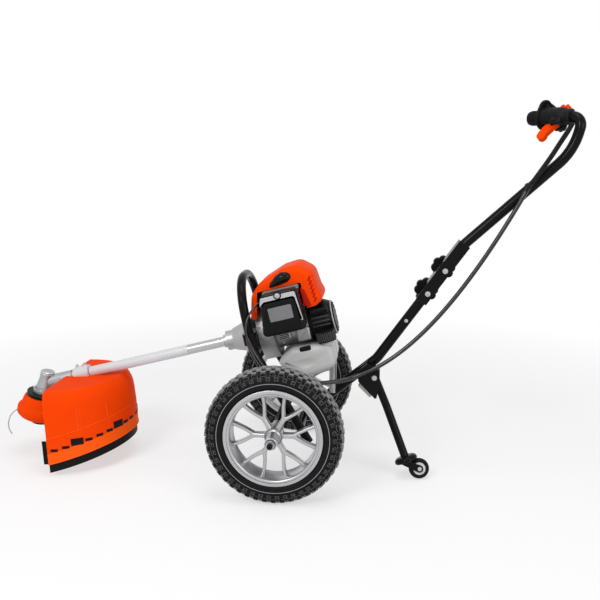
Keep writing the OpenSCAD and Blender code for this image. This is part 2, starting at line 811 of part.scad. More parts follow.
module stand_stop() {
  color(pale_grey)
    translate([stand_pivot[0] - bracket_reach * stop_shares[0], bracket_y_near + plate_t + seat_gap,
      stand_pivot[2] - bracket_reach * stop_shares[1]])
      rotate([0, stop_turn, 0])
        translate([-stop_len / 2, 0, -stop_t / 2])
          cube([stop_len, bracket_gap - 2 * seat_gap, stop_t]);
}
leg_down = unit([tan(stand_lean), -tan(stand_splay), -1]);
leg_out = unit([0, 0, 1] - leg_down[2] * leg_down);
leg_across = cross(leg_down, leg_out);
castor_turn = 35;
trail_dir = cos(castor_turn) * leg_out - sin(castor_turn) * leg_across;
castor_axis = cos(castor_turn) * leg_across + sin(castor_turn) * leg_out;
stand_foot = stand_pivot + stand_len * leg_down;
knee_share = 0.38;
stand_knee_r = 80;
stand_knee = stand_pivot + knee_share * stand_len * unit([tan(stand_lean), 0, -1]);
castor_round = castor_w / 2;
castor_ring_r = castor_d / 2 - castor_round;
castor_low = castor_ring_r * sqrt(1 - castor_axis[2] * castor_axis[2]) + castor_round;
castor_drop = (stand_foot[2] + castor_trail * trail_dir[2] - castor_low) / -leg_down[2];
castor_at = stand_foot + castor_drop * leg_down + castor_trail * trail_dir;
castor_plate_d = 52;
castor_plate_t = 4;
swivel_d = 36;
swivel_t = 4;
fork_t = 3;
fork_w = 20;
castor_pin_d = 6;
castor_hub_w = 20;
module leg_frame(at) {
  frame_at(at, trail_dir, -castor_axis, -leg_down)
    children();
}
module stand_leg() {
  color(black_paint) {
    difference() {
      union() {
        bent_tube([stand_pivot, stand_knee, stand_foot], [stand_knee_r], stand_d / 2, tube_wall);
        rod(stand_pivot - [0, bracket_gap / 2 - free_gap, 0],
          stand_pivot + [0, bracket_gap / 2 - free_gap, 0], eye_d / 2);
        leg_frame(stand_foot)
          translate([0, 0, -castor_plate_t])
            cylinder(h = castor_plate_t, d = castor_plate_d);
      }
      rod(stand_pivot - [0, bracket_gap, 0], stand_pivot + [0, bracket_gap, 0],
        pivot_bolt_d / 2 + run_gap);
    }
  }
}
fork_eye_r = 9;
fork_root = 16;
fork_back = 14;
swivel_low = castor_plate_t + seat_gap + swivel_t;
module castor_fork() {
  color(black_paint)
    leg_frame(stand_foot) {
      translate([0, 0, -swivel_low])
        cylinder(h = swivel_t, d = swivel_d);
      for (side = [-1, 1])
        translate([0, side * (castor_hub_w / 2 + free_gap + fork_t / 2) + fork_t / 2, 0])
          rotate([90, 0, 0])
            linear_extrude(fork_t)
              hull() {
                translate([castor_trail, -castor_drop])
                  circle(fork_eye_r, $fn = hull_fn);
                translate([-fork_back, -swivel_low - fork_t])
                  square([fork_root, fork_t]);
              }
      translate([-fork_back, -castor_hub_w / 2 - free_gap - fork_t, -swivel_low - fork_t])
        cube([fork_root, castor_hub_w + 2 * free_gap + 2 * fork_t, fork_t]);
      translate([castor_trail, 0, -castor_drop])
        rotate([90, 0, 0])
          cylinder(h = castor_hub_w + 2 * free_gap + 4 * fork_t, d = castor_pin_d, center = true);
    }
}
module castor_wheel() {
  color(rubber_black)
    leg_frame(stand_foot)
      translate([castor_trail, 0, -castor_drop])
        rotate([90, 0, 0])
          difference() {
            union() {
              rotate_extrude()
                translate([castor_ring_r, 0])
                  circle(castor_round);
              cylinder(h = castor_round, r = castor_ring_r, center = true);
              cylinder(h = castor_hub_w, r = castor_round, center = true);
            }
            cylinder(h = 2 * castor_hub_w, d = castor_pin_d + 2 * run_gap, center = true);
          }
}

// Drive tube, shafts and bevel gears
module drive_tube() {
  color(cast_silver)
    drive_frame()
      translate([-gear_reach + tube_front_u, 0, 0])
        rotate([0, 90, 0])
          ring(drive_tube_d, drive_tube_d - 2 * drive_tube_wall, tube_len);
}
// Bevel teeth on a cone about the gear centre
function cone_point(cone, reach, rise, turn) =
  let (r = reach * sin(cone) + rise * cos(cone), z = reach * cos(cone) - rise * sin(cone))
  [r * cos(turn), r * sin(turn), z];
module bevel_tooth(cone, teeth) {
  reaches = [cone_len * (1 - face_share), cone_len];
  points = [for (reach = reaches, top = [0, 1], side = [-1, 1])
    cone_point(cone, reach, (top == 1 ? tip_share : -root_share) * tooth_module * reach / cone_len,
      side * (top == 1 ? flank_tip_share : flank_root_share) * 360 / teeth)];
  polyhedron(points, [[0, 2, 1], [1, 2, 3], [4, 5, 6], [5, 7, 6], [0, 1, 5], [0, 5, 4], [2, 6, 7], [2, 7, 3],
    [1, 3, 7], [1, 7, 5], [0, 4, 6], [0, 6, 2]]);
}
module bevel_gear(cone, teeth, back, bore, first) {
  root = sunk_share * root_share * tooth_module;
  near = cone_point(cone, cone_len * (1 - face_share), -root * (1 - face_share), 0);
  far = cone_point(cone, cone_len, -root, 0);
  rear = cone_len * cos(cone) + back;
  rotate_extrude()
    polygon([[bore / 2, near[2]], [near[0], near[2]], [far[0], far[2]], [far[0], rear], [bore / 2, rear]]);
  for (i = [0 : teeth - 1])
    rotate((i + first) * 360 / teeth)
      bevel_tooth(cone, teeth);
}
half_tooth_share = 0.5;
module pinion_gear() {
  color(steel)
    drive_frame()
      translate([-gear_reach, 0, 0])
        rotate([0, 90, 0]) {
          bevel_gear(pinion_cone, pinion_teeth, pinion_back, pinion_shaft_d, 0);
          translate([0, 0, pinion_back_u - weld])
            cylinder(h = pinion_bearing_t + 2 * free_gap + weld, d = pinion_shaft_d);
          translate([0, 0, cone_len * cos(pinion_cone) - pinion_back / 2])
            cylinder(h = pinion_back + pinion_back / 2, d = pinion_shaft_d);
        }
}
drum_front_u = -103;
drum_d = 66;
drum_len = 22;
drum_wall = 3;
drum_boss_d = 18;
shaft_from_u = -gear_reach + pinion_bearing_u + pinion_bearing_t + free_gap + seat_gap;
module drive_shaft() {
  color(steel)
    drive_frame()
      disc_x(shaft_from_u, drum_front_u - seat_gap, drive_shaft_d / 2);
}
module clutch_drum() {
  color(steel)
    drive_frame() {
      difference() {
        disc_x(drum_front_u, drum_front_u + drum_len, drum_d / 2);
        disc_x(drum_front_u + drum_wall, drum_front_u + drum_len + overrun, drum_d / 2 - drum_wall);
      }
      difference() {
        disc_x(drum_front_u - drum_boss_d, drum_front_u + weld, drum_boss_d / 2);
        disc_x(drum_front_u - drum_boss_d - overrun, drum_front_u - seat_gap / 2, drive_shaft_d / 2);
      }
    }
}
module output_gear() {
  shaft_from = -top_bearing_s - free_gap;
  shaft_to = -head_top_s - head_h + shaft_low;
  color(steel)
    gear_frame() {
      rotate([180, 0, 0])
        bevel_gear(gear_cone, gear_teeth, gear_back, gear_shaft_d, half_tooth_share);
      translate([0, 0, shaft_to])
        cylinder(h = -gear_back_s - shaft_to + gear_back, d = gear_shaft_d);
      translate([0, 0, shaft_to])
        cylinder(h = shaft_from - shaft_to, d = gear_top_d);
    }
}
shaft_low = 2;

// Gear housing with its cap, barrel, flange and neck
neck_len = 78;
neck_d = 33;
housing_wall = 3.5;
barrel_top_r = 16.5;
barrel_low_r = 23;
flange_r = 30;
flange_rim_t = 8;
cavity_r = 18;
cap_step = 3;
module gear_housing() {
  color(cast_silver)
    difference() {
      union() {
        gear_frame()
          rotate_extrude()
            polygon([[0, -barrel_top_s], [barrel_top_r - cap_step, -barrel_top_s],
              [barrel_top_r, -barrel_top_s - cap_step],
              [barrel_top_r + cap_step / 3, -top_bearing_s - top_bearing_t - cap_step],
              [barrel_low_r, -gear_back_s], [barrel_low_r, -flange_s + flange_rim_t],
              [flange_r, -flange_s + flange_rim_t], [flange_r, -flange_s], [0, -flange_s]]);
        drive_frame()
          translate([-gear_reach, 0, 0])
            disc_x(0, neck_len, neck_d / 2);
      }
      gear_frame() {
        translate([0, 0, -flange_s - overrun])
          cylinder(h = flange_s - cutter_bearing_s + overrun, d = cutter_bearing_d);
        translate([0, 0, -cutter_bearing_s - weld])
          cylinder(h = cutter_bearing_s + weld + cavity_r / 3, r = cavity_r);
        cylinder(h = -top_bearing_s, d = top_bearing_d);
      }
      drive_frame()
        translate([-gear_reach, 0, 0]) {
          disc_x(0, pinion_bearing_u + pinion_bearing_t, pinion_bearing_d / 2);
          disc_x(0, pinion_bearing_u, pinion_r + tooth_module);
          disc_x(pinion_bearing_u + pinion_bearing_t - weld, neck_len + overrun, drive_tube_d / 2);
        }
    }
}

// Cutter holder, trimmer head and line
holder_gap = 1.5;
holder_top_s = flange_s + holder_gap;
holder_t = 9;
head_top_s = holder_top_s + holder_t + seat_gap;
head_wall = 3;
head_shares = [[0, 0], [0.8, 0], [1, 0.24], [1, 0.4], [0.93, 0.52], [0.72, 1], [0, 1]];
knob_tip_share = 0.8;
knob_low_d = 56;
knob_low_h = 16;
knob_travel = 6;
spool_d = 84;
spool_core_d = 50;
spool_h = 30;
spool_flange_t = 4;
spring_space = 8;
module head_frame() {
  gear_frame()
    translate([0, 0, -head_top_s - head_h])
      children();
}
module holder_disc() {
  color(black_plastic)
    gear_frame()
      translate([0, 0, -holder_top_s - holder_t])
        difference() {
          union() {
            cylinder(h = holder_t, d = holder_d);
            translate([0, 0, holder_t - weld])
              cylinder(h = holder_top_s - flange_s + weld - free_gap, d = 2 * flange_r);
          }
          translate([0, 0, -overrun])
            cylinder(h = 2 * holder_t, d = gear_shaft_d);
        }
}
module head_shell() {
  color(orange)
    head_frame()
      difference() {
        rotate_extrude()
          polygon(scaled(head_shares, head_d / 2, head_h));
        translate([0, 0, -overrun])
          cylinder(h = head_h - head_wall - spring_space + overrun, d = spool_d + 4 * free_gap);
        translate([0, 0, -overrun])
          cylinder(h = 2 * head_h, d = gear_shaft_d);
        for (side = [0, 180])
          rotate(side + line_turn)
            translate([0, 0, line_rise])
              rotate([0, 90, 0])
                cylinder(h = head_d, d = line_d + 2 * free_gap);
      }
}
line_rise = 18;
spool_top = head_h - head_wall - spring_space - free_gap;
module line_spool() {
  color(black_plastic)
    head_frame()
      translate([0, 0, spool_top - spool_h])
        difference() {
          union() {
            cylinder(h = spool_h, d = spool_core_d);
            cylinder(h = spool_flange_t, d = spool_d);
            translate([0, 0, spool_h - spool_flange_t])
              cylinder(h = spool_flange_t, d = spool_d);
          }
          translate([0, 0, -overrun])
            cylinder(h = 2 * head_h, d = gear_shaft_d);
        }
}
module bump_knob() {
  color(black_plastic)
    head_frame()
      difference() {
        union() {
          translate([0, 0, -knob_low_h / 2])
            cylinder(h = spool_top - spool_h + knob_low_h / 2 - knob_travel - free_gap, d = knob_low_d);
          translate([0, 0, -knob_low_h])
            cylinder(h = knob_low_h / 2 + weld, d = knob_low_d * knob_tip_share);
        }
        translate([0, 0, shaft_low - knob_travel - weld])
          cylinder(h = spool_h, d = gear_shaft_d + 2 * run_gap);
      }
}
// Nylon line: from the eyelet it droops and curls back
line_route = [[44, 0, 18], [56, 0, 18], [66, 0, 17], [76, 2, 13], [84, 5, 6], [89, 9, -4], [90, 13, -15],
  [88, 17, -25], [83, 20, -33]];
line_turn = 215;
line_sides = 8;
module trimmer_line() {
  color(pale_grey)
    head_frame()
      rotate(line_turn)
        translate([0, 0, line_rise - line_route[0][2]])
          sweep(line_route, [for (p = line_route) line_d / 2], line_sides);
}

// Guard: a deep scoop with an open front
clamp_behind = 86;
clamp_u = clamp_behind - gear_reach;
guard_ahead = 21.8;
guard_drop = -1;
guard_tilt = 2.5;
guard_steps = 28;
// Rows from the top down: shares of length, half width and local depth
guard_shares = [[0.86, 0.93, 0], [0.93, 0.98, 0.08], [0.98, 1, 0.22], [1, 1, 0.5], [1, 1, 1]];
guard_rows = len(guard_shares);
guard_columns = guard_steps + 1;
function guard_plan(shares, t) = [for (i = [0 : guard_steps]) let (a = 180 * i / guard_steps - 90)
  [(guard_len * shares[0] - t) * cos(a), (guard_half_w * shares[1] - t) * sin(a)]];
// Points of one skin, an inset inside the outer one
function guard_skin(t) = [for (row = guard_shares, p = guard_plan(row, t))
  let (low = p[0] * tan(guard_cut) - guard_h, high = -t)
  [p[0], p[1], high + row[2] * (low - high)]];
function guard_point(skin, row, column) = skin * guard_rows * guard_columns + row * guard_columns + column;
function guard_wall_faces(skin) = [for (j = [0 : guard_rows - 2], i = [0 : guard_steps - 1],
  half = [0, 1])
  let (a = guard_point(skin, j, i), b = guard_point(skin, j, i + 1), c = guard_point(skin, j + 1, i + 1),
    d = guard_point(skin, j + 1, i))
  half == 0 ? [a, b, c] : [a, c, d]];
function edge_faces(outer, inner) = [for (k = [0 : len(outer) - 2], half = [0, 1])
  half == 0 ? [outer[k], outer[k + 1], inner[k + 1]] : [outer[k], inner[k + 1], inner[k]]];
function guard_edge(skin) = concat([for (i = [0 : guard_steps]) guard_point(skin, guard_rows - 1, i)],
  [for (j = [guard_rows - 2 : -1 : 0]) guard_point(skin, j, guard_steps)],
  [for (j = [0 : guard_rows - 1]) guard_point(skin, j, 0)]);
module guard_bowl() {
  top = [for (i = [guard_steps : -1 : 0]) guard_point(0, 0, i)];
  ceiling = [for (i = [0 : guard_steps]) guard_point(1, 0, i)];
  polyhedron(concat(guard_skin(0), guard_skin(guard_t)), concat([top, ceiling], guard_wall_faces(0),
    flipped(guard_wall_faces(1)), edge_faces(guard_edge(0), guard_edge(1))));
}
module guard_tube(t, from, to) {
  translate([0, 0, -to])
    linear_extrude(to - from)
      polygon(guard_plan([1, 1], t));
}
guard_cut = atan2(guard_h - guard_rear_h, guard_len);
guard_box = 2 * guard_half_w + guard_len;
clamp_r = 20;
clamp_len = 40;
module guard_frame() {
  translate(to_world([clamp_u, 0, 0]) - [guard_ahead, 0, guard_drop])
    rotate([0, -guard_tilt, 0])
      children();
}
// The space under a plane along the guard's lower edge
module guard_below(drop) {
  translate([0, -guard_box / 2, -guard_h - drop])
    rotate([0, -guard_cut, 0])
      translate([-guard_box, 0, -guard_box])
        cube([3 * guard_box, guard_box, guard_box]);
}
module guard() {
  color(orange)
    difference() {
      guard_frame()
        guard_bowl();
      drive_frame()
        disc_x(-gear_reach, clamp_u + 2 * clamp_len, clamp_r + seat_gap);
    }
}
skirt_t = 4;
skirt_lap = 12;
skirt_top_share = 0.42;
module guard_skirt() {
  color(rubber_black)
    guard_frame()
      difference() {
        intersection() {
          guard_tube(guard_t + seat_gap, skirt_top_share * guard_h + guard_t, guard_h + skirt_h);
          guard_below(-skirt_lap);
        }
        guard_tube(guard_t + seat_gap + skirt_t, 0, 2 * guard_h);
        guard_below(skirt_h);
      }
}
clamp_bolt_d = 5;
module guard_clamp() {
  color(black_plastic)
    drive_frame()
      difference() {
        union() {
          disc_x(clamp_u, clamp_u + clamp_len, clamp_r);
          for (side = [-1, 1])
            translate([clamp_u + clamp_len / 2 + side * clamp_len / 4, 0, clamp_r - weld])
              cylinder(h = clamp_bolt_d, d = 2 * clamp_bolt_d);
        }
        disc_x(clamp_u - overrun, clamp_u + clamp_len + overrun, drive_tube_d / 2);
      }
}
cutter_t = 2;
cutter_w = 26;
cutter_h = 46;
cutter_rise = 22;
cutter_ahead = 14;
module line_cutter() {
  color(black_paint)
    guard_frame()
      translate([-cutter_ahead, -guard_half_w + guard_t + free_gap + seat_gap, -guard_h + cutter_rise])
        cube([cutter_w, cutter_t, cutter_h]);
}

// Clutch: housing on the tube's rear end, shoes on the crank
clutch_rear_u = -80;
clutch_len = 84;
clutch_r = 48;
// Outline from the rear forward: shares of radius and length
clutch_shares = [[0, 0], [1, 0], [1, 0.14], [0.79, 0.3], [0.58, 0.667], [0.52, 0.667],
  [0.52, 0.893], [0.34, 0.893], [0.34, 1], [0, 1]];
drum_gap = 1.5;
drum_space_u = drum_front_u - drum_gap;
module clutch_housing() {
  color(cast_silver)
    drive_frame()
      difference() {
        spin_x([for (s = clutch_shares) [s[0] * clutch_r, clutch_rear_u - s[1] * clutch_len]]);
        disc_x(clutch_rear_u - clutch_len - overrun, tube_rear_u, drive_tube_d / 2);
        disc_x(tube_rear_u - overrun, clutch_rear_u, drum_boss_d / 2 + drum_gap);
        disc_x(drum_space_u, clutch_rear_u + overrun, drum_d / 2 + drum_gap);
      }
}
shoe_r = 29;
shoe_hub_d = 26;
shoe_inset = 6;
shoe_from_u = drum_front_u + shoe_inset;
shoe_t = 13;
shoe_slot = 5;
module clutch_shoes() {
  color(steel)
    drive_frame()
      difference() {
        disc_x(shoe_from_u, shoe_from_u + shoe_t, shoe_r);
        disc_x(shoe_from_u - overrun, shoe_from_u + shoe_t + overrun, crank_shaft_d / 2);
        for (side = [-1, 1])
          translate([shoe_from_u - overrun, side * (shoe_hub_d + shoe_slot) / 2 - shoe_slot / 2, -shoe_r])
            cube([shoe_t + 2 * overrun, shoe_slot, shoe_r + shoe_hub_d / 2]);
      }
}

// Engine bracket: a flange, arms and clamps
bracket_flange_d = 84;
bracket_rear_u = -62;
arm_d = 13;
arm_root = 34;
leg_clamp_z = 348;
leg_clamp_len = 28;
leg_clamp_wall = 6;
arch_dir = [-cos(arch_slope), 0, sin(arch_slope)];
function arch_at(z, side) =
  [leg_x(hoop_bend_z) - (z - hoop_bend_z) / tan(arch_slope), side * hoop_w / 2, z];
function to_world(p) = [0, 0, crank_z] + turn_y(p, -drive_tilt);
module engine_bracket() {
  color(black_paint)
    difference() {
      union() {
        drive_frame()
          disc_x(clutch_rear_u, bracket_rear_u, bracket_flange_d / 2);
        for (side = [-1, 1]) {
          rod(arch_at(leg_clamp_z, side) - leg_clamp_len / 2 * arch_dir,
            arch_at(leg_clamp_z, side) + leg_clamp_len / 2 * arch_dir, hoop_r + leg_clamp_wall);
          rod(to_world([bracket_rear_u - arm_d / 2 - seat_gap, side * arm_root, 0]),
            arch_at(leg_clamp_z, side), arm_d / 2);
        }
      }
      drive_frame()
        disc_x(clutch_rear_u - overrun, bracket_rear_u + overrun, drum_d / 2 + drum_gap);
      for (side = [-1, 1])
        rod(arch_at(leg_clamp_z, side) - leg_clamp_len * arch_dir,
          arch_at(leg_clamp_z, side) + leg_clamp_len * arch_dir, hoop_r);
    }
}
strut_x = 118;
strut_d = 18;
strut_y = -6;
pole_low_slope = atan2(pole_bend[2] - cross_at[2], pole_bend[0] - cross_at[0]);
strut_foot_z = cross_at[2] + (strut_x - cross_at[0]) * tan(pole_low_slope);
module engine_strut() {
  color(pale_grey)
    difference() {
      translate([strut_x, strut_y, strut_foot_z])
        cylinder(h = strut_top_z - strut_foot_z, d = strut_d);
      rod(cross_at, pole_bend, pole_r + seat_gap);
      tank_block(seat_gap);
    }
}

// Fan housing and flywheel
fan_rear_u = -25;
fan_front_u = bracket_rear_u;
fan_wall = 3;
fan_mouth_d = 2 * (drum_d / 2 + drum_gap);
fan_rear_hole_d = 40;
air_w = 70;
module fan_housing() {
  color(cast_silver)
    drive_frame()
      difference() {
        disc_x(fan_front_u, fan_rear_u, fan_d / 2);
        disc_x(fan_front_u + fan_wall, fan_rear_u - fan_wall, fan_d / 2 - fan_wall);
        disc_x(fan_front_u - overrun, fan_front_u + 2 * fan_wall, fan_mouth_d / 2);
        disc_x(fan_rear_u - 2 * fan_wall, fan_rear_u + overrun, fan_rear_hole_d / 2);
        translate([fan_rear_u - 2 * fan_wall, -air_w / 2, fan_rear_hole_d])
          cube([3 * fan_wall, air_w, fan_d / 4]);
      }
}
wheel_gap = 4;
flywheel_t = 12;
blade_count = 12;
blade_t = 2.5;
blade_h = 12;
blade_in = 34;
flywheel_u = fan_front_u + fan_wall + wheel_gap;
flywheel_r = fan_d / 2 - fan_wall - wheel_gap;
module flywheel() {
  color(cast_silver)
    drive_frame()
      difference() {
        union() {
          disc_x(flywheel_u, flywheel_u + flywheel_t, flywheel_r);
          for (i = [0 : blade_count - 1])
            rotate([i * 360 / blade_count, 0, 0])
              translate([flywheel_u + flywheel_t - weld, -blade_t / 2, blade_in])
                cube([blade_h, blade_t, flywheel_r - blade_in - weld]);
        }
        disc_x(flywheel_u - overrun, flywheel_u + flywheel_t + overrun, crank_shaft_d / 2);
      }
}

// Crankcase, crankshaft, cylinder and piston
case_rear_u = 62;
deck_w = 50;
deck_d = 68;
spigot_wall = 2;
spigot_d = bore_d + 2 * spigot_wall;
module crankcase() {
  color(cast_silver)
    drive_frame()
      difference() {
        union() {
          disc_x(fan_rear_u, case_rear_u, case_d / 2);
          translate([crank_u, 0, 0])
            cylinder(h = deck_w, d = deck_d);
        }
        disc_x(crank_u - web_half - free_gap, crank_u + web_half + free_gap, web_d / 2 + weld);
        disc_x(crank_u - bearing_face - crank_bearing_t, crank_u + bearing_face + crank_bearing_t,
          crank_bearing_d / 2);
        disc_x(fan_rear_u - overrun, case_rear_u + overrun, crank_shaft_d / 2 + free_gap);
        translate([crank_u, 0, 0])
          cylinder(h = deck_w + overrun, d = spigot_d);
      }
}
crank_front_u = shoe_from_u;
crank_rear_u = 76;
module crankshaft() {
  color(steel)
    drive_frame() {
      disc_x(crank_front_u, crank_u - rod_gap / 2, crank_shaft_d / 2);
      disc_x(crank_u - web_half, crank_u - rod_gap / 2, web_d / 2);
      disc_x(crank_u + rod_gap / 2, crank_u + web_half, web_d / 2);
      disc_x(crank_u + rod_gap / 2, crank_rear_u, crank_shaft_d / 2);
    }
}
head_w = 102;
cylinder_top_w = 118;
barrel_d = 56;
fin_d = 78;
fin_t = 1.8;
fin_count = 10;
fin_from_w = 58;
port_w = 70;
port_boss_d = 26;
port_d = 16;
port_reach = 44;
spigot_len = 8;
plug_d = 10;
module cylinder_block() {
  cylinder(h = cylinder_top_w - deck_w, d = barrel_d);
  cylinder(h = spigot_len / 2, d = deck_d);
  for (i = [0 : fin_count - 1])
    translate([0, 0, fin_from_w - deck_w + i * (cylinder_top_w - fin_from_w - fin_t) / (fin_count - 1)])
      cylinder(h = fin_t, d = fin_d);
  translate([0, 0, port_w - deck_w])
    rotate([90, 0, 0])
      cylinder(h = 2 * port_reach, d = port_boss_d, center = true);
}
module plug_place() {
  translate([crank_u, 0, head_w])
    rotate([plug_lean, 0, 0])
      children();
}
plug_lean = 30;
module cylinder_barrel_cut() {
  translate([crank_u, 0, deck_w - overrun])
    cylinder(h = head_w - deck_w + overrun, d = bore_d);
  translate([crank_u, 0, port_w])
    rotate([90, 0, 0])
      cylinder(h = 2 * port_reach + overrun, d = port_d, center = true);
  plug_place()
    translate([0, 0, -overrun])
      cylinder(h = head_w, d = plug_d);
}
module cylinder_block_node() {
  color(cast_silver)
    drive_frame()
      difference() {
        translate([crank_u, 0, deck_w])
          cylinder_block();
        cylinder_barrel_cut();
      }
}
piston_h = 32;
piston_top_w = 84;
piston_wall = 4;
pin_d = 10;
rod_w = 12;
rod_eye_d = 30;
rod_bore_d = 18;
rod_t = rod_gap - 4 * free_gap;
module piston() {
  pin_w = piston_top_w - piston_h / 2;
  color(steel)
    drive_frame()
      translate([crank_u, 0, 0]) {
        difference() {
          translate([0, 0, piston_top_w - piston_h])
            cylinder(h = piston_h, d = bore_d - 2 * run_gap);
          translate([0, 0, piston_top_w - piston_h - overrun])
            cylinder(h = piston_h - piston_wall + overrun, d = bore_d - 2 * piston_wall);
        }
        translate([0, 0, pin_w])
          rotate([0, 90, 0])
            cylinder(h = bore_d - piston_wall, d = pin_d, center = true);
        difference() {
          union() {
            translate([-rod_t / 2, -rod_w / 2, 0])
              cube([rod_t, rod_w, pin_w]);
            rotate([0, 90, 0])
              cylinder(h = rod_t, d = rod_eye_d, center = true);
          }
          rotate([0, 90, 0])
            cylinder(h = 2 * rod_t, d = rod_bore_d, center = true);
        }
      }
}
plug_from = 4;
plug_len = 42;
plug_hex_d = 17;
plug_hex_from = 28;
plug_hex_t = 7;
module spark_plug() {
  color(pale_grey)
    drive_frame()
      plug_place() {
        translate([0, 0, plug_from])
          cylinder(h = plug_len - plug_from, d = plug_d);
        translate([0, 0, plug_hex_from])
          cylinder(h = plug_hex_t, d = plug_hex_d, $fn = 6);
      }
}

// Engine cover and the pieces on it
cover_len = 186;
cover_h = 155;
// Side outline: shares of length and height
cover_shares = [[-0.387, 0.277], [-0.349, 0.477], [-0.28, 0.703], [-0.145, 0.852], [0.161, 0.981],
  [0.382, 1], [0.554, 0.826], [0.565, 0.503], [0.613, 0.419], [0.559, 0.31], [0.441, 0.284]];
cover_outline = scaled(cover_shares, cover_len, cover_h);
cover_middle = [30, 70];
cover_mouth = [[70, 20], [-60, 20]];
mitre_share = 1.3;
function shrunk(points, t, middle) = [for (p = points) p - t * mitre_share * unit(p - middle)];
cover_inside = concat(shrunk(cover_outline, cover_t, cover_middle), cover_mouth);
module side_extrude(points, from_y, to_y) {
  translate([0, to_y, 0])
    rotate([90, 0, 0])
      linear_extrude(to_y - from_y)
        polygon(points);
}
shelf_w = 112;
opening_from_u = -50;
opening_to_u = 72;
post_d = 10;
post_y = 18;
post_top_share = 0.968;
module engine_cover() {
  color(orange)
    drive_frame() {
      difference() {
        side_extrude(cover_outline, -cover_w / 2, cover_w / 2);
        side_extrude(cover_inside, -cover_w / 2 + cover_t, cover_w / 2 - cover_t);
        for (side = [-1, 1])
          translate([opening_from_u, side * cover_w / 2 - cover_w / 4, 0])
            cube([opening_to_u - opening_from_u, cover_w / 2, shelf_w]);
        disc_x(case_rear_u - overrun, starter_rear_u, starter_d / 2 + free_gap);
      }
      translate([crank_u + post_d, post_y, cylinder_top_w + seat_gap])
        cylinder(h = cover_h * post_top_share - cylinder_top_w, d = post_d);
    }
}
oval_at = [24, 130];
oval_half = 16;
oval_r = 12.5;
oval_t = 7;
module plug_cover() {
  color(black_plastic)
    drive_frame()
      translate([oval_at[0], -cover_w / 2 - seat_gap, oval_at[1]])
        rotate([90, 0, 0]) {
          for (side = [-1, 1])
            translate([side * oval_half, 0, 0])
              cylinder(h = oval_t, r = oval_r);
          translate([-oval_half, -oval_r, 0])
            cube([2 * oval_half, 2 * oval_r, oval_t]);
        }
}

// Carburettor, air cleaner, choke and muffler
carb_w = 36;
carb_h = 40;
carb_end_y = -76;
base_t = 9;
base_y = carb_end_y - seat_gap;
cleaner_y = base_y - base_t - seat_gap;
cleaner_low_w = 7;
cleaner_mid_u = 12;
// Air cleaner outline: shares of its length and height
cleaner_shares = [[-0.5, 0], [0.51, 0], [0.51, 0.04], [0.5, 0.98], [0.48, 1], [-0.27, 1], [-0.3, 0.97],
  [-0.5, 0.05]];
cleaner_outline = [for (s = cleaner_shares)
  [cleaner_mid_u + s[0] * cleaner_len, cleaner_low_w + s[1] * cleaner_h]];
cleaner_middle = [cleaner_mid_u, cleaner_low_w + cleaner_h / 2];
module carburettor() {
  color(cast_silver)
    drive_frame()
      difference() {
        translate([crank_u - carb_w / 2, carb_end_y, port_w - carb_h / 2])
          cube([carb_w, -carb_end_y - port_reach - seat_gap, carb_h]);
        translate([crank_u, carb_end_y / 2, port_w])
          rotate([90, 0, 0])
            cylinder(h = -2 * carb_end_y, d = port_d, center = true);
      }
}
module air_cleaner_base() {
  color(pale_grey)
    drive_frame()
      difference() {
        side_extrude(shrunk(cleaner_outline, base_t / 5, cleaner_middle), base_y - base_t, base_y);
        translate([crank_u, base_y, port_w])
          rotate([90, 0, 0])
            cylinder(h = 4 * base_t, d = port_d, center = true);
      }
}
module air_cleaner_cover() {
  color(black_plastic)
    drive_frame()
      difference() {
        side_extrude(cleaner_outline, -cleaner_reach, cleaner_y);
        side_extrude(shrunk(cleaner_outline, cover_t, cleaner_middle), -cleaner_reach + cover_t,
          cleaner_y + overrun);
      }
}
choke_w = 50;
choke_t = 3;
choke_d = 9;
choke_len = 20;
choke_u = cleaner_mid_u + cleaner_len * cleaner_shares[1][0];
choke_y = base_y - base_t / 2;
module choke_lever() {
  color(black_plastic)
    drive_frame()
      translate([choke_u, choke_y, choke_w]) {
        disc_x(0, choke_t, choke_d / 2);
        translate([0, -choke_d / 4, -choke_len])
          cube([choke_t, choke_d / 2, choke_len]);
      }
}
muffler_size = [82, 62, 84];
muffler_low_w = 16;
muffler_from_u = -22;
sheet_t = 2;
module muffler() {
  color(steel)
    drive_frame()
      difference() {
        translate([muffler_from_u, port_reach + seat_gap, muffler_low_w])
          cube(muffler_size);
        translate([muffler_from_u + sheet_t, port_reach + seat_gap + sheet_t, muffler_low_w + sheet_t])
          cube(muffler_size - 2 * [sheet_t, sheet_t, sheet_t]);
        translate([crank_u, port_reach, port_w])
          rotate([90, 0, 0])
            cylinder(h = port_reach, d = port_d, center = true);
        translate([muffler_from_u + muffler_size[0], port_reach + muffler_size[1] / 2, port_w])
          rotate([0, 90, 0])
            cylinder(h = port_d, d = port_d, center = true);
      }
}

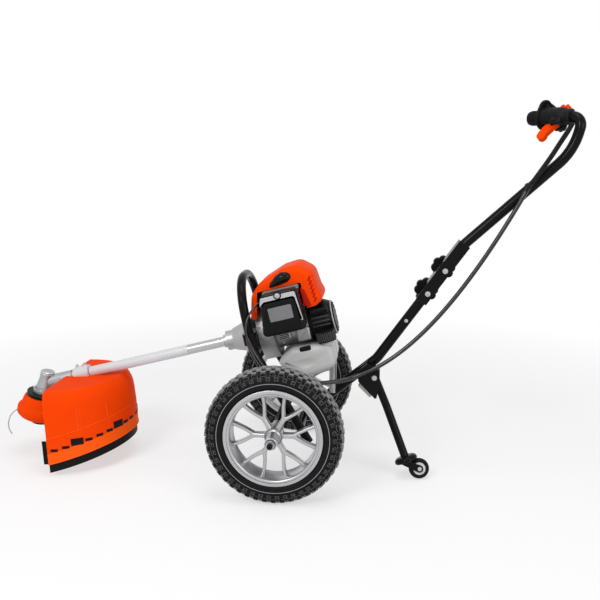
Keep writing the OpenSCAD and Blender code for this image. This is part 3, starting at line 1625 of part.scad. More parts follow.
// Recoil starter
starter_rear_u = 127;
starter_rim_t = 10;
starter_step = 8;
reel_d = 60;
reel_t = 16;
reel_u = 88;
reel_gap = 1.5;
post_hole_d = 16;
rope_d = 4;
rope_lift = 3;
rope_w = reel_d / 2 + rope_lift;
handle_y = -52;
handle_len = 42;
handle_d = 15;
module starter_housing() {
  color(black_plastic)
    drive_frame() {
      difference() {
        spin_x([[0, case_rear_u], [starter_d / 2, case_rear_u],
          [starter_d / 2, starter_rear_u - 2 * starter_rim_t],
          [starter_d / 2 - starter_step, starter_rear_u - starter_step / 2],
          [starter_d / 2 - 2 * starter_step, starter_rear_u], [0, starter_rear_u]]);
        disc_x(case_rear_u - overrun, starter_rear_u - starter_rim_t, reel_d / 2 + reel_gap);
        translate([reel_u + reel_t / 2, handle_y, rope_w])
          rotate([90, 0, 0])
            cylinder(h = starter_d, d = rope_d + 2 * seat_gap, center = true);
        translate([cap_at[0], cap_at[1], -starter_d])
          cylinder(h = starter_d, d = cap_d + 4 * reel_gap);
      }
      disc_x(reel_u - reel_gap, starter_rear_u - weld, post_hole_d / 2);
    }
}
module starter_reel() {
  color(black_plastic)
    drive_frame()
      difference() {
        disc_x(reel_u, reel_u + reel_t, reel_d / 2);
        disc_x(reel_u - overrun, reel_u + reel_t + overrun, post_hole_d / 2 + run_gap);
        rotate([0, 90, 0])
          translate([0, 0, reel_u + reel_t / 2])
            rotate_extrude()
              translate([reel_d / 2, 0])
                circle(rope_d);
      }
}
module starter_handle() {
  color(black_plastic)
    drive_frame()
      translate([reel_u + reel_t / 2, handle_y, rope_w]) {
        rotate([-90, 0, 0])
          cylinder(h = -handle_y - rope_d, d = rope_d);
        disc_x(-handle_len / 2, handle_len / 2, handle_d / 2);
      }
}

// Fuel tank and cap
tank_rear_u = 112;
tank_top_w = -40;
cap_at = [99, -56];
cap_h = 26;
cap_low_w = -45;
cap_top_t = 5;
filler_d = 32;
fuel_neck_top_w = cap_low_w + cap_h - cap_top_t - weld;
// Side outline: shares of length and depth
tank_shares = [[-1, -0.33], [-0.7, 0], [0, -0.13], [-0.04, -0.86], [-0.61, -1]];
tank_points = [for (s = tank_shares) [tank_rear_u + s[0] * tank_len, tank_top_w + s[1] * tank_h]];
tank_middle = [tank_rear_u - tank_len / 2, tank_top_w - tank_h / 2];
tank_corner = tank_points[3];
strut_top_z = to_world([tank_corner[0], 0, tank_corner[1]])[2];
module tank_block(t) {
  drive_frame()
    difference() {
      side_extrude(shrunk(tank_points, -t, tank_middle), -tank_w / 2 - t, tank_w / 2 + t);
      disc_x(-tank_len, tank_rear_u + tank_len, case_d / 2 + free_gap - t);
    }
}
module tank_shape(t) {
  difference() {
    side_extrude(shrunk(tank_points, t, tank_middle), -tank_w / 2 + t, tank_w / 2 - t);
    disc_x(-tank_len, case_rear_u, case_d / 2 + free_gap + t);
    disc_x(case_rear_u - free_gap - t, 2 * tank_len, starter_d / 2 + free_gap + t);
    disc_x(-tank_len, fan_rear_u + free_gap + t, fan_d / 2 + free_gap + t);
  }
}
module fuel_tank() {
  color(tank_white)
    drive_frame()
      difference() {
        union() {
          tank_shape(0);
          translate([cap_at[0], cap_at[1], cap_low_w - 2 * tank_wall])
            cylinder(h = fuel_neck_top_w - cap_low_w + 2 * tank_wall, d = filler_d);
        }
        tank_shape(tank_wall);
        translate([cap_at[0], cap_at[1], cap_low_w - tank_h / 2])
          cylinder(h = tank_h, d = filler_d - 2 * tank_wall);
      }
}
module fuel_cap() {
  color(black_plastic)
    drive_frame()
      translate([cap_at[0], cap_at[1], cap_low_w + 2 * free_gap])
        difference() {
          cylinder(h = cap_h, d = cap_d);
          translate([0, 0, -overrun])
            cylinder(h = cap_h - cap_top_t + overrun, d = filler_d + 2 * run_gap);
        }
}

wheel_frame();
axle();
bearings();
left_tyre();
left_rim();
right_tyre();
right_rim();
lower_pole();
upper_pole();
pole_bolts();
upper_knob();
lower_knob();
control_body();
throttle_trigger();
stop_switch();
cable_conduit();
throttle_cable();
stand_bracket();
stand_stop();
stand_leg();
castor_fork();
castor_wheel();
engine_bracket();
engine_strut();
drive_tube();
drive_shaft();
pinion_gear();
clutch_drum();
gear_housing();
output_gear();
holder_disc();
head_shell();
line_spool();
bump_knob();
trimmer_line();
guard();
guard_skirt();
guard_clamp();
line_cutter();
clutch_housing();
clutch_shoes();
fan_housing();
flywheel();
crankcase();
crankshaft();
cylinder_block_node();  // cylinder
piston();
spark_plug();
engine_cover();
plug_cover();
carburettor();
air_cleaner_base();
air_cleaner_cover();
choke_lever();
muffler();
starter_housing();
starter_reel();
starter_handle();
fuel_tank();
fuel_cap();
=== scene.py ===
# %% [markdown]
# A wheeled string trimmer: a two-stroke engine on a two-wheel hoop frame, a slanting drive tube with a bevel
# gearbox and a line head at its front end, a folding pole with a throttle grip and a castor stand. The packed
# solids are the fixed frame. This lesson adds what they leave out: tread, rounded mouldings, screws, ribs,
# cables and finishes.

# %% Load the frame
import json
import math
import bmesh
import bpy
import numpy as np
from mathutils import Matrix, Vector


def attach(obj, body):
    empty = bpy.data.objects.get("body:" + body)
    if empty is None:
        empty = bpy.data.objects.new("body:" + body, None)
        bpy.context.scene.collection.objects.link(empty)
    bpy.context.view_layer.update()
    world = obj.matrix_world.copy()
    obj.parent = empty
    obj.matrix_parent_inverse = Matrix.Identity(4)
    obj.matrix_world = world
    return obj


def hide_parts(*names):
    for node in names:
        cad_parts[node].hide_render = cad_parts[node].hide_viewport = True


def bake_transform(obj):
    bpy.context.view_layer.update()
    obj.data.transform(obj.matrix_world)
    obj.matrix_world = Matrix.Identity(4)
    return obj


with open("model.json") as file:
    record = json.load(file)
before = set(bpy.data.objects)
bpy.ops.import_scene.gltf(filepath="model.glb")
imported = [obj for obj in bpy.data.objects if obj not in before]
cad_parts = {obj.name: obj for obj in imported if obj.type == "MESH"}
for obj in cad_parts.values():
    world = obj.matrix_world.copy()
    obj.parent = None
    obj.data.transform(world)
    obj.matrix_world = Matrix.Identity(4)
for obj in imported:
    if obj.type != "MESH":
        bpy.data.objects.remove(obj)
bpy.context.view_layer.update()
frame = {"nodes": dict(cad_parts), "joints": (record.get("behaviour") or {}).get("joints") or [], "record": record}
nodes = frame["nodes"]


# %% [markdown]
# Finishes first. On the real machine a finish is a base colour that drifts a little, a gloss that drifts with
# it, a fine grain, and edges that handling has rubbed paler. Each could be wired by hand in the shader editor,
# but mouldings, castings and paint differ only in their numbers, so one recipe makes them all. Shader maths
# reads best as plain expressions, so a small class turns operators into nodes.

# %% Socket arithmetic
class Value:
    """A socket that takes part in arithmetic; each operation adds a Math node."""

    def __init__(self, work, socket):
        self.work, self.socket = work, socket

    def math(self, operation, a, b):
        return self.work.out(self.work.node("ShaderNodeMath", {"operation": operation}, {0: a, 1: b}))

    def __add__(self, other): return self.math("ADD", self, other)
    def __sub__(self, other): return self.math("SUBTRACT", self, other)
    def __rsub__(self, other): return self.math("SUBTRACT", other, self)
    def __mul__(self, other): return self.math("MULTIPLY", self, other)
    def __truediv__(self, other): return self.math("DIVIDE", self, other)
    def __rtruediv__(self, other): return self.math("DIVIDE", other, self)
    def least(self, other): return self.math("MINIMUM", self, other)
    def most(self, other): return self.math("MAXIMUM", self, other)
    __radd__, __rmul__ = __add__, __mul__


class Tree:
    """A node tree, and the one method that adds any node to it."""

    def __init__(self, tree):
        self.tree = tree

    def node(self, kind, settings=None, inputs=None):
        made = self.tree.nodes.new(kind)
        for key, value in (settings or {}).items():
            setattr(made, key, value)
        for key, value in (inputs or {}).items():
            if isinstance(value, Value):
                self.tree.links.new(value.socket, made.inputs[key])
            else:
                made.inputs[key].default_value = value
        return made

    def out(self, node, key=0):
        return Value(self, node.outputs[key])


def emptied(owner):
    """The cleared tree of a material or of the world."""
    owner.use_nodes = True
    owner.node_tree.nodes.clear()
    return Tree(owner.node_tree)


# %% One recipe for finishes
CELL_HEIGHT = 1.4
CLOUD_SHARE = 0.7
EDGE_GAIN = 5
WORN_MATT = 0.15


def rgba(colour):
    """A colour with full alpha. A lone number is a grey, a trace to the blue."""
    return (*colour, 1.0) if isinstance(colour, tuple) else (colour, colour, colour * 1.02, 1.0)


def grain_of(shade, place, kind, scale):
    """Blasted sand, or the small cells of a textured mould."""
    if kind == "cells":
        made = shade.node("ShaderNodeTexVoronoi", None, {"Vector": place, "Scale": scale})
        return shade.out(made, "Distance") * CELL_HEIGHT
    made = shade.node("ShaderNodeTexNoise", None, {"Vector": place, "Scale": scale, "Detail": 3.0})
    return shade.out(made)


def edge_of(shade, width):
    """Near 1 on a corner and 0 on a flat: how far a softened normal leans."""
    soft = shade.out(shade.node("ShaderNodeBevel", {"samples": 4}, {"Radius": width}))
    own = shade.out(shade.node("ShaderNodeNewGeometry"), "Normal")
    lean = shade.node("ShaderNodeVectorMath", {"operation": "DOT_PRODUCT"}, {0: soft, 1: own})
    return ((1 - shade.out(lean, "Value")) * EDGE_GAIN).least(1.0)


def mixed(shade, share, first, second):
    made = shade.node("ShaderNodeMix", {"data_type": "RGBA"}, {0: share, 6: first, 7: second})
    return shade.out(made, 2)


def finish(name, light, dark, rough, drift, patch, grain, kind="sand", bump=0.1, depth=0.0002, metallic=0.0,
           coat=0.0, shine=0.5, rubbed=None, wear=0.5, edge=0.0012, stretch=(1, 1, 1), tilt=0.0, subsurface=0.0,
           tint=None):
    """A material from two shades of a colour, a grain, a shine and a rubbed edge."""
    material = bpy.data.materials.new(name)
    shade = emptied(material)
    place = shade.out(shade.node("ShaderNodeTexCoord"), "Object")
    place = shade.out(shade.node("ShaderNodeMapping", {"vector_type": "TEXTURE"},
                                 {"Vector": place, "Rotation": (0, tilt, 0), "Scale": stretch}))
    cloud = shade.out(shade.node("ShaderNodeTexNoise", None,
                                 {"Vector": place, "Scale": patch, "Detail": 5.0, "Roughness": 0.6}))
    speck = grain_of(shade, place, kind, grain)
    blend = cloud * CLOUD_SHARE + speck * (1 - CLOUD_SHARE)
    colour = mixed(shade, blend, rgba(dark), rgba(light))
    colour = tint(shade, place, colour) if tint else colour
    gloss = rough + (cloud - 0.5) * (2 * drift)
    if rubbed:
        worn = edge_of(shade, edge) * (cloud + speck) * wear
        colour = mixed(shade, worn, colour, rgba(rubbed))
        gloss = gloss + worn * WORN_MATT
    relief = shade.out(shade.node("ShaderNodeBump", None,
                                  {"Height": speck, "Strength": bump, "Distance": depth}))
    surface = shade.node("ShaderNodeBsdfPrincipled", None, {
        "Base Color": colour, "Roughness": gloss, "Normal": relief, "Metallic": metallic,
        "Coat Weight": coat, "Specular IOR Level": shine, "Subsurface Weight": subsurface})
    shade.node("ShaderNodeOutputMaterial", None, {"Surface": shade.out(surface)})
    return material

# %% [markdown]
# The machine wears gloss black paint, zinc, rubber, satin silver, blasted castings and mouldings in orange,
# black, grey and milky white. Black and orange get little shine, because a white studio mirrored in them would
# wash them out. A tyre gets painted highlights: pale grey on its stud tops and on the thin line of its side
# wall, where light catches them. That could be a painted mask, but the distance from the axle already tells stud
# tops from grooves, so the finish measures it. Every solid takes the finish of the slot that the record names.

# %% The finishes
AXLE_HEIGHT = 0.159
STUD_TOPS, TOPS_FADE = 0.1525, 350
WALL_LINE, LINE_FADE = 0.1276, 1.2e6
# Grey of the painted highlights on the tyre, and how much of it the stud tops take
HIGHLIGHT_GREY, HIGHLIGHT_ON_TOPS = 0.34, 0.75
DRIVE_TILT = -14.3
ORANGE = dict(kind="cells", bump=0.06, shine=0.004, rubbed=(1.0, 0.20, 0.05), wear=0.6)


def painted_tyre_highlights(shade, place, colour):
    """Painted highlights: pale grey on the tops of the studs and along the thin line moulded into the side wall."""
    flat = shade.node("ShaderNodeVectorMath", {"operation": "MULTIPLY"}, {0: place, 1: (1, 0, 1)})
    away = shade.node("ShaderNodeVectorMath", {"operation": "DISTANCE"},
                      {0: shade.out(flat), 1: (0, 0, AXLE_HEIGHT)})
    radius = shade.out(away, "Value")
    tops = ((radius - STUD_TOPS) * TOPS_FADE).most(0.0).least(1.0)
    off = radius - WALL_LINE
    line = (1 - off * off * LINE_FADE).most(0.0)
    return mixed(shade, (tops * HIGHLIGHT_ON_TOPS).most(line), colour, rgba(HIGHLIGHT_GREY))


# After the two shades come roughness and its drift, then how fine the clouds and the grain are
look = {
    "frame_paint": finish(
        "gloss black paint", 0.008, 0.003, 0.17, 0.05, 9, 420, bump=0.05, coat=0.02, shine=0.07,
        rubbed=0.10, wear=0.3),
    "zinc_steel": finish(
        "zinc plated steel", 0.56, 0.30, 0.28, 0.12, 60, 260, "cells", 0.06, metallic=1.0, rubbed=0.75),
    # The tyre's rubbed edges are pale: partly wear, partly a painted highlight on the lug edges
    "tyre_rubber": finish(
        "tyre rubber", 0.012, 0.005, 0.42, 0.14, 30, 900, "cells", 0.25, shine=0.06, rubbed=0.20, wear=0.9,
        edge=0.0018, tint=painted_tyre_highlights),
    "rim_silver": finish(
        "satin silver rim", 0.56, 0.38, 0.3, 0.1, 16, 1300, bump=0.08, metallic=0.9, rubbed=0.8),
    "cast_alloy": finish(
        "blasted casting", 0.50, 0.30, 0.4, 0.12, 34, 520, bump=0.4, depth=0.0004, metallic=0.85,
        rubbed=0.8, wear=0.7),
    "cover_orange": finish(
        "orange-red moulding", (0.93, 0.066, 0.003), (0.80, 0.044, 0.002), 0.34, 0.08, 9, 1500, **ORANGE),
    "black_plastic": finish(
        "black textured moulding", 0.010, 0.004, 0.4, 0.12, 20, 1200, "cells", 0.3, shine=0.08, rubbed=0.08),
    "soft_rubber": finish(
        "soft black rubber", 0.012, 0.005, 0.5, 0.1, 24, 1600, bump=0.25, shine=0.07, rubbed=0.06),
    "grey_plastic": finish(
        "grey moulding", (0.40, 0.385, 0.36), (0.30, 0.29, 0.27), 0.45, 0.08, 16, 1300, "cells", 0.15,
        shine=0.3, rubbed=0.55),
    "tank_plastic": finish(
        "milky tank", (0.57, 0.565, 0.56), (0.45, 0.45, 0.45), 0.36, 0.07, 7, 700, bump=0.08, shine=0.3,
        rubbed=0.78, wear=0.3, edge=0.003, subsurface=0.1),
    "nylon_line": finish(
        "nylon line", (0.50, 0.47, 0.42), (0.36, 0.34, 0.30), 0.25, 0.05, 60, 2500, bump=0.05),
}
pale = finish("pale plate", 0.66, 0.56, 0.32, 0.06, 15, 1500, bump=0.04, rubbed=0.8)
gloss_black = finish("gloss black moulding", 0.008, 0.003, 0.1, 0.04, 12, 700, bump=0.03, coat=0.05, shine=0.12)
sheath = finish("cable sheath", 0.016, 0.008, 0.2, 0.05, 40, 900, bump=0.05, coat=0.3, shine=0.3)
slate = finish("bare dark plate", 0.22, 0.15, 0.4, 0.08, 30, 1500, bump=0.06, shine=0.1, rubbed=0.4)
dim = finish("worn dark moulding", 0.075, 0.04, 0.45, 0.08, 30, 1500, bump=0.06, shine=0.1, rubbed=0.2)
light_grey = finish("light grey moulding", 0.50, 0.40, 0.4, 0.08, 16, 1400, "cells", 0.12, rubbed=0.66)
# A lighter copy of the orange finish: a painted highlight for the guard's flared lower band
lit_orange = finish(
    "orange moulding with painted highlight", (1.0, 0.125, 0.010), (0.90, 0.085, 0.006), 0.32, 0.08, 12, 1500, **ORANGE)
# A dark red for painted shade in the hood's recess and louvre slits
shade_red = finish(
    "shaded red moulding", (0.55, 0.012, 0.001), (0.40, 0.007, 0.001), 0.5, 0.08, 20, 1400, "cells", 0.1, shine=0.1)
drawn_tube = finish(
    "drawn tube", 0.62, 0.36, 0.24, 0.1, 40, 500, bump=0.1, metallic=0.95, rubbed=0.8, stretch=(30, 1, 1),
    tilt=math.radians(DRIVE_TILT))
print("finishes", len(bpy.data.materials))

# %% Finishes on the solids
for part in frame["record"]["subparts"]:
    mesh = nodes[part["node"]].data
    mesh.materials.clear()
    mesh.materials.append(look[part["material_slot"]])
special = {"drive_tube": drawn_tube, "guard_clamp": pale, "engine_strut": look["cast_alloy"]}
for name, material in special.items():
    nodes[name].data.materials[0] = material

# %% [markdown]
# Pieces could be modelled by hand in Edit Mode. Here each is built from points and faces in millimetres, so
# that its sizes stay readable as numbers. The two basic ways are a skin over rings of points and a profile
# turned about an axis. One function then makes any number of such shapes into a closed object in the frame's
# metres.

# %% Shape helpers
def skinned(rings):
    """A closed skin over rings of equally many points, capped at both ends."""
    n, faces = len(rings[0]), []
    for i in range(len(rings) - 1):
        for k in range(n):
            j = (k + 1) % n
            faces.append((i * n + k, i * n + j, (i + 1) * n + j, (i + 1) * n + k))
    faces += [tuple(range(n - 1, -1, -1)), tuple(range((len(rings) - 1) * n, len(rings) * n))]
    return [tuple(p) for ring in rings for p in ring], faces


def turned(profile, steps):
    """Revolves [radius, height] points about Z. A profile that starts on the axis ends there too; any other
    closes on itself as a ring."""
    count, closed = len(profile), profile[0][0] > 0
    points = [(r * x, r * y, z) for x, y in circle(1, steps) for r, z in profile]
    faces = []
    for k in range(steps):
        a, b = k * count, (k + 1) % steps * count
        for i in range(count if closed else count - 1):
            j = (i + 1) % count
            faces.append((a + i, b + i, b + j, a + j))
    return points, faces


def circle(r, sides):
    return [(r * math.cos(2 * math.pi * k / sides), r * math.sin(2 * math.pi * k / sides)) for k in range(sides)]


def moved(shape, matrix):
    """A shape placed by a matrix in millimetres."""
    return [tuple(matrix @ Vector(p)) for p in shape[0]], shape[1]


# %% From shapes to objects
def mesh_of(name, shapes, material, sharp=35):
    points, faces = [], []
    for shape in shapes:
        base = len(points)
        points += [tuple(c / 1000 for c in p) for p in shape[0]]
        faces += [tuple(base + i for i in f) for f in shape[1]]
    mesh = bpy.data.meshes.new(name)
    mesh.from_pydata(points, [], faces)
    work = bmesh.new()
    work.from_mesh(mesh)
    bmesh.ops.remove_doubles(work, verts=work.verts, dist=1e-7)
    bmesh.ops.dissolve_degenerate(work, edges=work.edges, dist=1e-8)
    bmesh.ops.recalc_face_normals(work, faces=work.faces)
    work.to_mesh(mesh)
    work.free()
    mesh.shade_smooth()
    mesh.set_sharp_from_angle(angle=math.radians(sharp))
    mesh.materials.append(material)
    return mesh


def shown(name, data):
    made = bpy.data.objects.new(name, data)
    bpy.context.scene.collection.objects.link(made)
    return made


def piece(name, body, slot, shapes, material=None, replaces=()):
    """One visible object, from shapes or a mesh, that rides on a body."""
    ready = isinstance(shapes, bpy.types.Mesh)
    made = shown(name, shapes if ready else mesh_of(name, shapes, material or look[slot]))
    if body:
        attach(made, body)
    if replaces:
        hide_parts(*replaces)
    return made


def placed(mesh, matrix):
    """A finished mesh moved by a matrix in millimetres."""
    place = matrix.copy()
    place.translation = matrix.translation / 1000
    mesh.transform(place)
    return mesh


# %% The main axes
def turn(axis, degrees):
    return Matrix.Rotation(math.radians(degrees), 4, axis)


def shift(x, y, z):
    return Matrix.Translation((x, y, z))


DRIVE_HEIGHT, GEAR_REACH, GEAR_TILT = 355, 661, 27
HALF_TRACK, AXLE = 235, 159
DRIVE = shift(0, 0, DRIVE_HEIGHT) @ turn("Y", DRIVE_TILT)
GEAR = DRIVE @ shift(-GEAR_REACH, 0, 0) @ turn("Y", GEAR_TILT)
CRANK = DRIVE @ turn("Y", 90)
WHEELS = {"left": shift(0, -HALF_TRACK, AXLE) @ turn("X", 90),
          "right": shift(0, HALF_TRACK, AXLE) @ turn("X", -90)}
print("drive axis starts at", tuple(round(x) for x in DRIVE @ Vector((-GEAR_REACH, 0, 0))))

# %% [markdown]
# Tread blocks, ribs, vents and screws repeat. An Array modifier could copy them too, but a tree keeps the count
# and the start angle as named inputs. The first tree spins one block about an axis. The second puts one block
# on each point of a carrier mesh, turned to the direction stored there. Both end by making the copies real,
# because the export drops instances.

# %% Geometry Nodes trees
def repeat_tree(name, inputs):
    """A new tree that copies a block, and the node that carries its inputs."""
    group = bpy.data.node_groups.new(name, "GeometryNodeTree")
    for label, kind in [("Geometry", "Geometry"), ("Block", "Object"), *inputs, ("Material", "Material")]:
        group.interface.new_socket(label, in_out="INPUT", socket_type="NodeSocket" + kind)
    group.interface.new_socket("Geometry", in_out="OUTPUT", socket_type="NodeSocketGeometry")
    work = Tree(group)
    return work, work.node("NodeGroupInput")


def copied(work, given, points, rotation, scale):
    """Ends a tree: the block on every point, made real and painted."""
    unit = work.node("GeometryNodeObjectInfo", None, {"Object": work.out(given, "Block"), "As Instance": True})
    copies = work.node("GeometryNodeInstanceOnPoints", None, {
        "Points": points, "Instance": work.out(unit, "Geometry"), "Rotation": rotation, "Scale": scale})
    real = work.node("GeometryNodeRealizeInstances", None, {0: work.out(copies)})
    paint = work.node("GeometryNodeSetMaterial", None, {
        0: work.out(real), "Material": work.out(given, "Material")})
    work.node("NodeGroupOutput", None, {0: work.out(paint)})
    return work.tree


# %% Two trees
work, given = repeat_tree("ring of copies", [("Count", "Int"), ("Phase", "Float")])
count = work.out(given, "Count")
line = work.node("GeometryNodeMeshLine", None, {"Count": count, "Offset": (0, 0, 0)})
share = work.out(work.node("GeometryNodeInputIndex")) / count
spin = work.node("ShaderNodeCombineXYZ", None, {"Z": share * (2 * math.pi) + work.out(given, "Phase")})
ring_tree = copied(work, given, work.out(line), work.out(spin), (1, 1, 1))

work, given = repeat_tree("copies on points", [])
facing = work.node("GeometryNodeInputNamedAttribute", {"data_type": "FLOAT_VECTOR"}, {"Name": "facing"})
size = work.node("GeometryNodeInputNamedAttribute", {"data_type": "FLOAT"}, {"Name": "size"})
aim = work.node("FunctionNodeAlignRotationToVector", {"axis": "Z"}, {"Vector": work.out(facing)})
point_tree = copied(work, given, work.out(given, "Geometry"), work.out(aim), work.out(size))
print("trees", [tree.name for tree in bpy.data.node_groups])


# %% Running a tree
def result_of(worker, *helpers):
    """The mesh that an object's modifiers make; the object and its helpers go."""
    bpy.context.view_layer.update()
    depsgraph = bpy.context.evaluated_depsgraph_get()
    mesh = bpy.data.meshes.new_from_object(worker.evaluated_get(depsgraph), depsgraph=depsgraph)
    for gone in (worker, *helpers):
        bpy.data.objects.remove(gone)
    return mesh


def repeated(name, tree, carrier, shapes, material, values=None, sharp=35):
    """Runs a tree on a carrier mesh. A modifier's inputs go by their sockets' identifiers."""
    unit = shown(name + " unit", mesh_of(name + " unit", shapes, material, sharp))
    worker = shown(name, carrier)
    modifier = worker.modifiers.new("tree", "NODES")
    modifier.node_group = tree
    ids = {item.name: item.identifier for item in tree.interface.items_tree if item.in_out == "INPUT"}
    for key, value in {"Block": unit, "Material": material, **(values or {})}.items():
        modifier[ids[key]] = value
    return result_of(worker, unit)


def ring_of(name, shapes, count, matrix, material, phase=0.0, sharp=35):
    """Copies of a block spun about Z, then placed by a matrix in millimetres."""
    carrier = bpy.data.meshes.new(name + " carrier")
    carrier.from_pydata([(0, 0, 0)], [], [])
    values = {"Count": count, "Phase": phase}
    return placed(repeated(name, ring_tree, carrier, shapes, material, values, sharp), matrix)

# %% [markdown]
# The tyres are small knobbly pneumatics. The casing could be a torus, but its flat side wall and thin raised
# line need a profile, so it is turned. The tread is two staggered rows of studs on the crown, a row on each
# shoulder and small lugs on the side wall. There are hundreds, so each is only a tapered box with its top edge
# broken. Half a pitch between the rows gives the pattern that the photograph shows.

# %% Tyres
def mirrored(profile):
    """A profile, then its mirror image below."""
    return profile + [(r, -z) for r, z in reversed(profile)]


casing = mirrored([(106, 22), (112, 23), (115.5, 27), (117.5, 28.4), (121, 29.2), (126, 29.6), (127, 30.4),
                   (128.2, 30.4), (129, 29.8), (135, 29.4), (141, 27.2), (146, 23.4), (149.4, 17), (151, 9),
                   (151.4, 3)])
TREAD = 46
CROWN, SHOULDER, LUG = (12.5, 12, 8.6), (12.5, 10.5, 8), (8.5, 8, 5)
# Radius of the foot, distance from the middle, size, lean in degrees and lag in pitches
STUD_ROWS = [(150.2, 7.6, CROWN, 0, 0.0), (147.2, 19.6, SHOULDER, 30, 0.5), (138.6, 27.6, LUG, 66, 0.0)]
NO_MOVE = Matrix.Identity(4)


def stud(size):
    """A tapered box along X, whose foot is at X = 0 and whose top edge is broken."""
    long, wide, high = size
    layers = [(0, 1), (high - 1, 0.88), (high, 0.72)]
    corners = ((-1, -1), (1, -1), (1, 1), (-1, 1))
    return skinned([[(x, y * share * long / 2, z * share * wide / 2) for y, z in corners] for x, share in layers])


def joined(name, meshes):
    """Several meshes as one, keeping the first one's material."""
    work = bmesh.new()
    for mesh in meshes:
        work.from_mesh(mesh)
    result = bpy.data.meshes.new(name)
    work.to_mesh(result)
    work.free()
    for material in meshes[0].materials:
        result.materials.append(material)
    return result


def on_wheel(side, name, slot, parts, replaced):
    """One piece of a wheel, from meshes made about Z."""
    mesh = placed(joined(name, parts), WHEELS[side])
    piece(f"{side}_{name}", side + "_wheel", slot, mesh, replaces=[f"{side}_{replaced}"])
    print(side, replaced, "faces", len(mesh.polygons))


pitch = 2 * math.pi / TREAD
for side in WHEELS:
    parts = [mesh_of("casing", [turned(casing, 144)], look["tyre_rubber"], 40)]
    for foot, across, size, lean, late in STUD_ROWS:
        for hand in (-1, 1):
            unit = moved(stud(size), shift(foot, 0, hand * across) @ turn("Y", -hand * lean))
            phase = (late + (0.5 if hand < 0 else 0.0)) * pitch
            parts.append(ring_of("tread", [unit], TREAD, NO_MOVE, look["tyre_rubber"], phase, 25))
    on_wheel(side, "tyre_tread", "tyre_rubber", parts, "tyre")

# %% [markdown]
# The rims are satin silver with six forked spokes. The spokes could be boxes with a Bevel modifier, but cast
# ones swell where they meet the hub and the rim. So each stem and arm is swept along a path with a rounded
# section that changes on the way.

# %% Bars along a path
def swept(path, section, flat_to=(0, 0, 1)):
    """Carries an outline, or a function of the share of the way that gives one, along a path."""
    path = np.array(path, float)
    ahead = np.gradient(path, axis=0)
    ahead /= np.linalg.norm(ahead, axis=1)[:, None]
    side = np.cross(ahead[0], flat_to)
    if np.linalg.norm(side) < 1e-3:
        side = np.cross(ahead[0], (0, 1, 0))
    rings = []
    for i, (p, d) in enumerate(zip(path, ahead)):
        side = side - d * side.dot(d)
        side /= np.linalg.norm(side)
        up = np.cross(side, d)
        outline = section(i / (len(path) - 1)) if callable(section) else section
        rings.append([p + x * side + y * up for x, y in outline])
    return skinned(rings)


def rounded(corners, radius, steps=7):
    """An outline with its corners rounded off."""
    out, n = [], len(corners)
    for i in range(n):
        a, b, c = (Vector(corners[(i + k) % n]) for k in (-1, 0, 1))
        into, away = (b - a).normalized(), (c - b).normalized()
        bend = math.acos(max(-1, min(1, into.dot(away))))
        reach = min(radius * math.tan(bend / 2), 0.45 * min((b - a).length, (c - b).length))
        p, q = b - into * reach, b + away * reach
        for k in range(steps + 1):
            t = k / steps
            out.append(tuple((1 - t) ** 2 * p + 2 * t * (1 - t) * b + t * t * q))
    return out


def oblong(width, height, radius, steps):
    w, h = width / 2, height / 2
    return rounded([(-w, -h), (w, -h), (w, h), (-w, h)], radius, steps)


def soft_bar(width, height):
    return oblong(width, height, min(width, height) * 0.42, 5)


# %% Rims
barrel = mirrored([(99.4, 28.6), (101.4, 29.6), (103.2, 29.4), (103.8, 27.6), (104.8, 27.6), (105.4, 29.8),
                   (110.4, 30), (112.4, 29), (112.6, 25.5), (111.5, 24.2), (106, 23.4), (104.6, 21), (104, 14)])
barrel += [(98, -26), (96.6, -18), (96.2, 0), (96.6, 18), (98, 26)]
hub = mirrored([(6.6, 60), (13, 60), (14, 59), (14, 36), (15.5, 22), (20, 18), (21, 15)])
seal = [(7, 61.5), (10.5, 61.5), (11.5, 60.5), (11.5, 56), (7, 56)]
cap = [(0, 78), (4.5, 77.6), (6.4, 76), (6.8, 73), (6.8, 70), (0, 70)]
SPOKES, FORK, TIP, FORK_ANGLE = 6, 44.0, 99.0, math.radians(15)


def spoke():
    fork = np.array([FORK, 0, 0])
    shapes = [swept([(14 + 6 * k, 0, 0) for k in range(7)],
                    lambda t: soft_bar(13 - 2.5 * math.sin(math.pi * t), 21 - 3 * t))]
    for side in (-1, 1):
        end = TIP * np.array([math.cos(FORK_ANGLE), side * math.sin(FORK_ANGLE), 0])
        bow = np.array([0, side * 2.5, 0])
        path = [fork + (end - fork) * t + bow * math.sin(math.pi * t) for t in np.linspace(0, 1, 12)]
        shapes.append(swept(path, lambda t: soft_bar(7 + 2.5 * abs(2 * t - 1) ** 3, 17)))
    return shapes


def lathe(name, body, slot, profile, steps, place, material=None, replaces=()):
    """A piece turned from a profile."""
    return piece(name, body, slot, [moved(turned(profile, steps), place)], material, replaces)


for side, place in WHEELS.items():
    silver = look["rim_silver"]
    parts = [mesh_of("barrel", [turned(barrel, 144), turned(hub, 64)], silver, 40),
             ring_of("spokes", spoke(), SPOKES, NO_MOVE, silver)]
    on_wheel(side, "rim_cast", "rim_silver", parts, "rim")
    lathe(side + "_hub_seal", side + "_wheel", "rim_silver", seal, 48, place, look["soft_rubber"])
    lathe(side + "_axle_cap", "base", "zinc_steel", cap, 32, place, look["black_plastic"])

# %% [markdown]
# The engine cover is the brightest piece: a thin orange-red hood, rounded on every edge, that leaves the air
# cleaner's corner open. It could be drawn face by face, but the bite's edge follows both the shelf and the
# hood's rounding. So a hollow slab has its bites cut out with Booleans. Behind the near bite a black plate
# stops the view through the hood, as the engine's cowling does.

# %% Rounded mouldings
FLAT_RING = 0.3


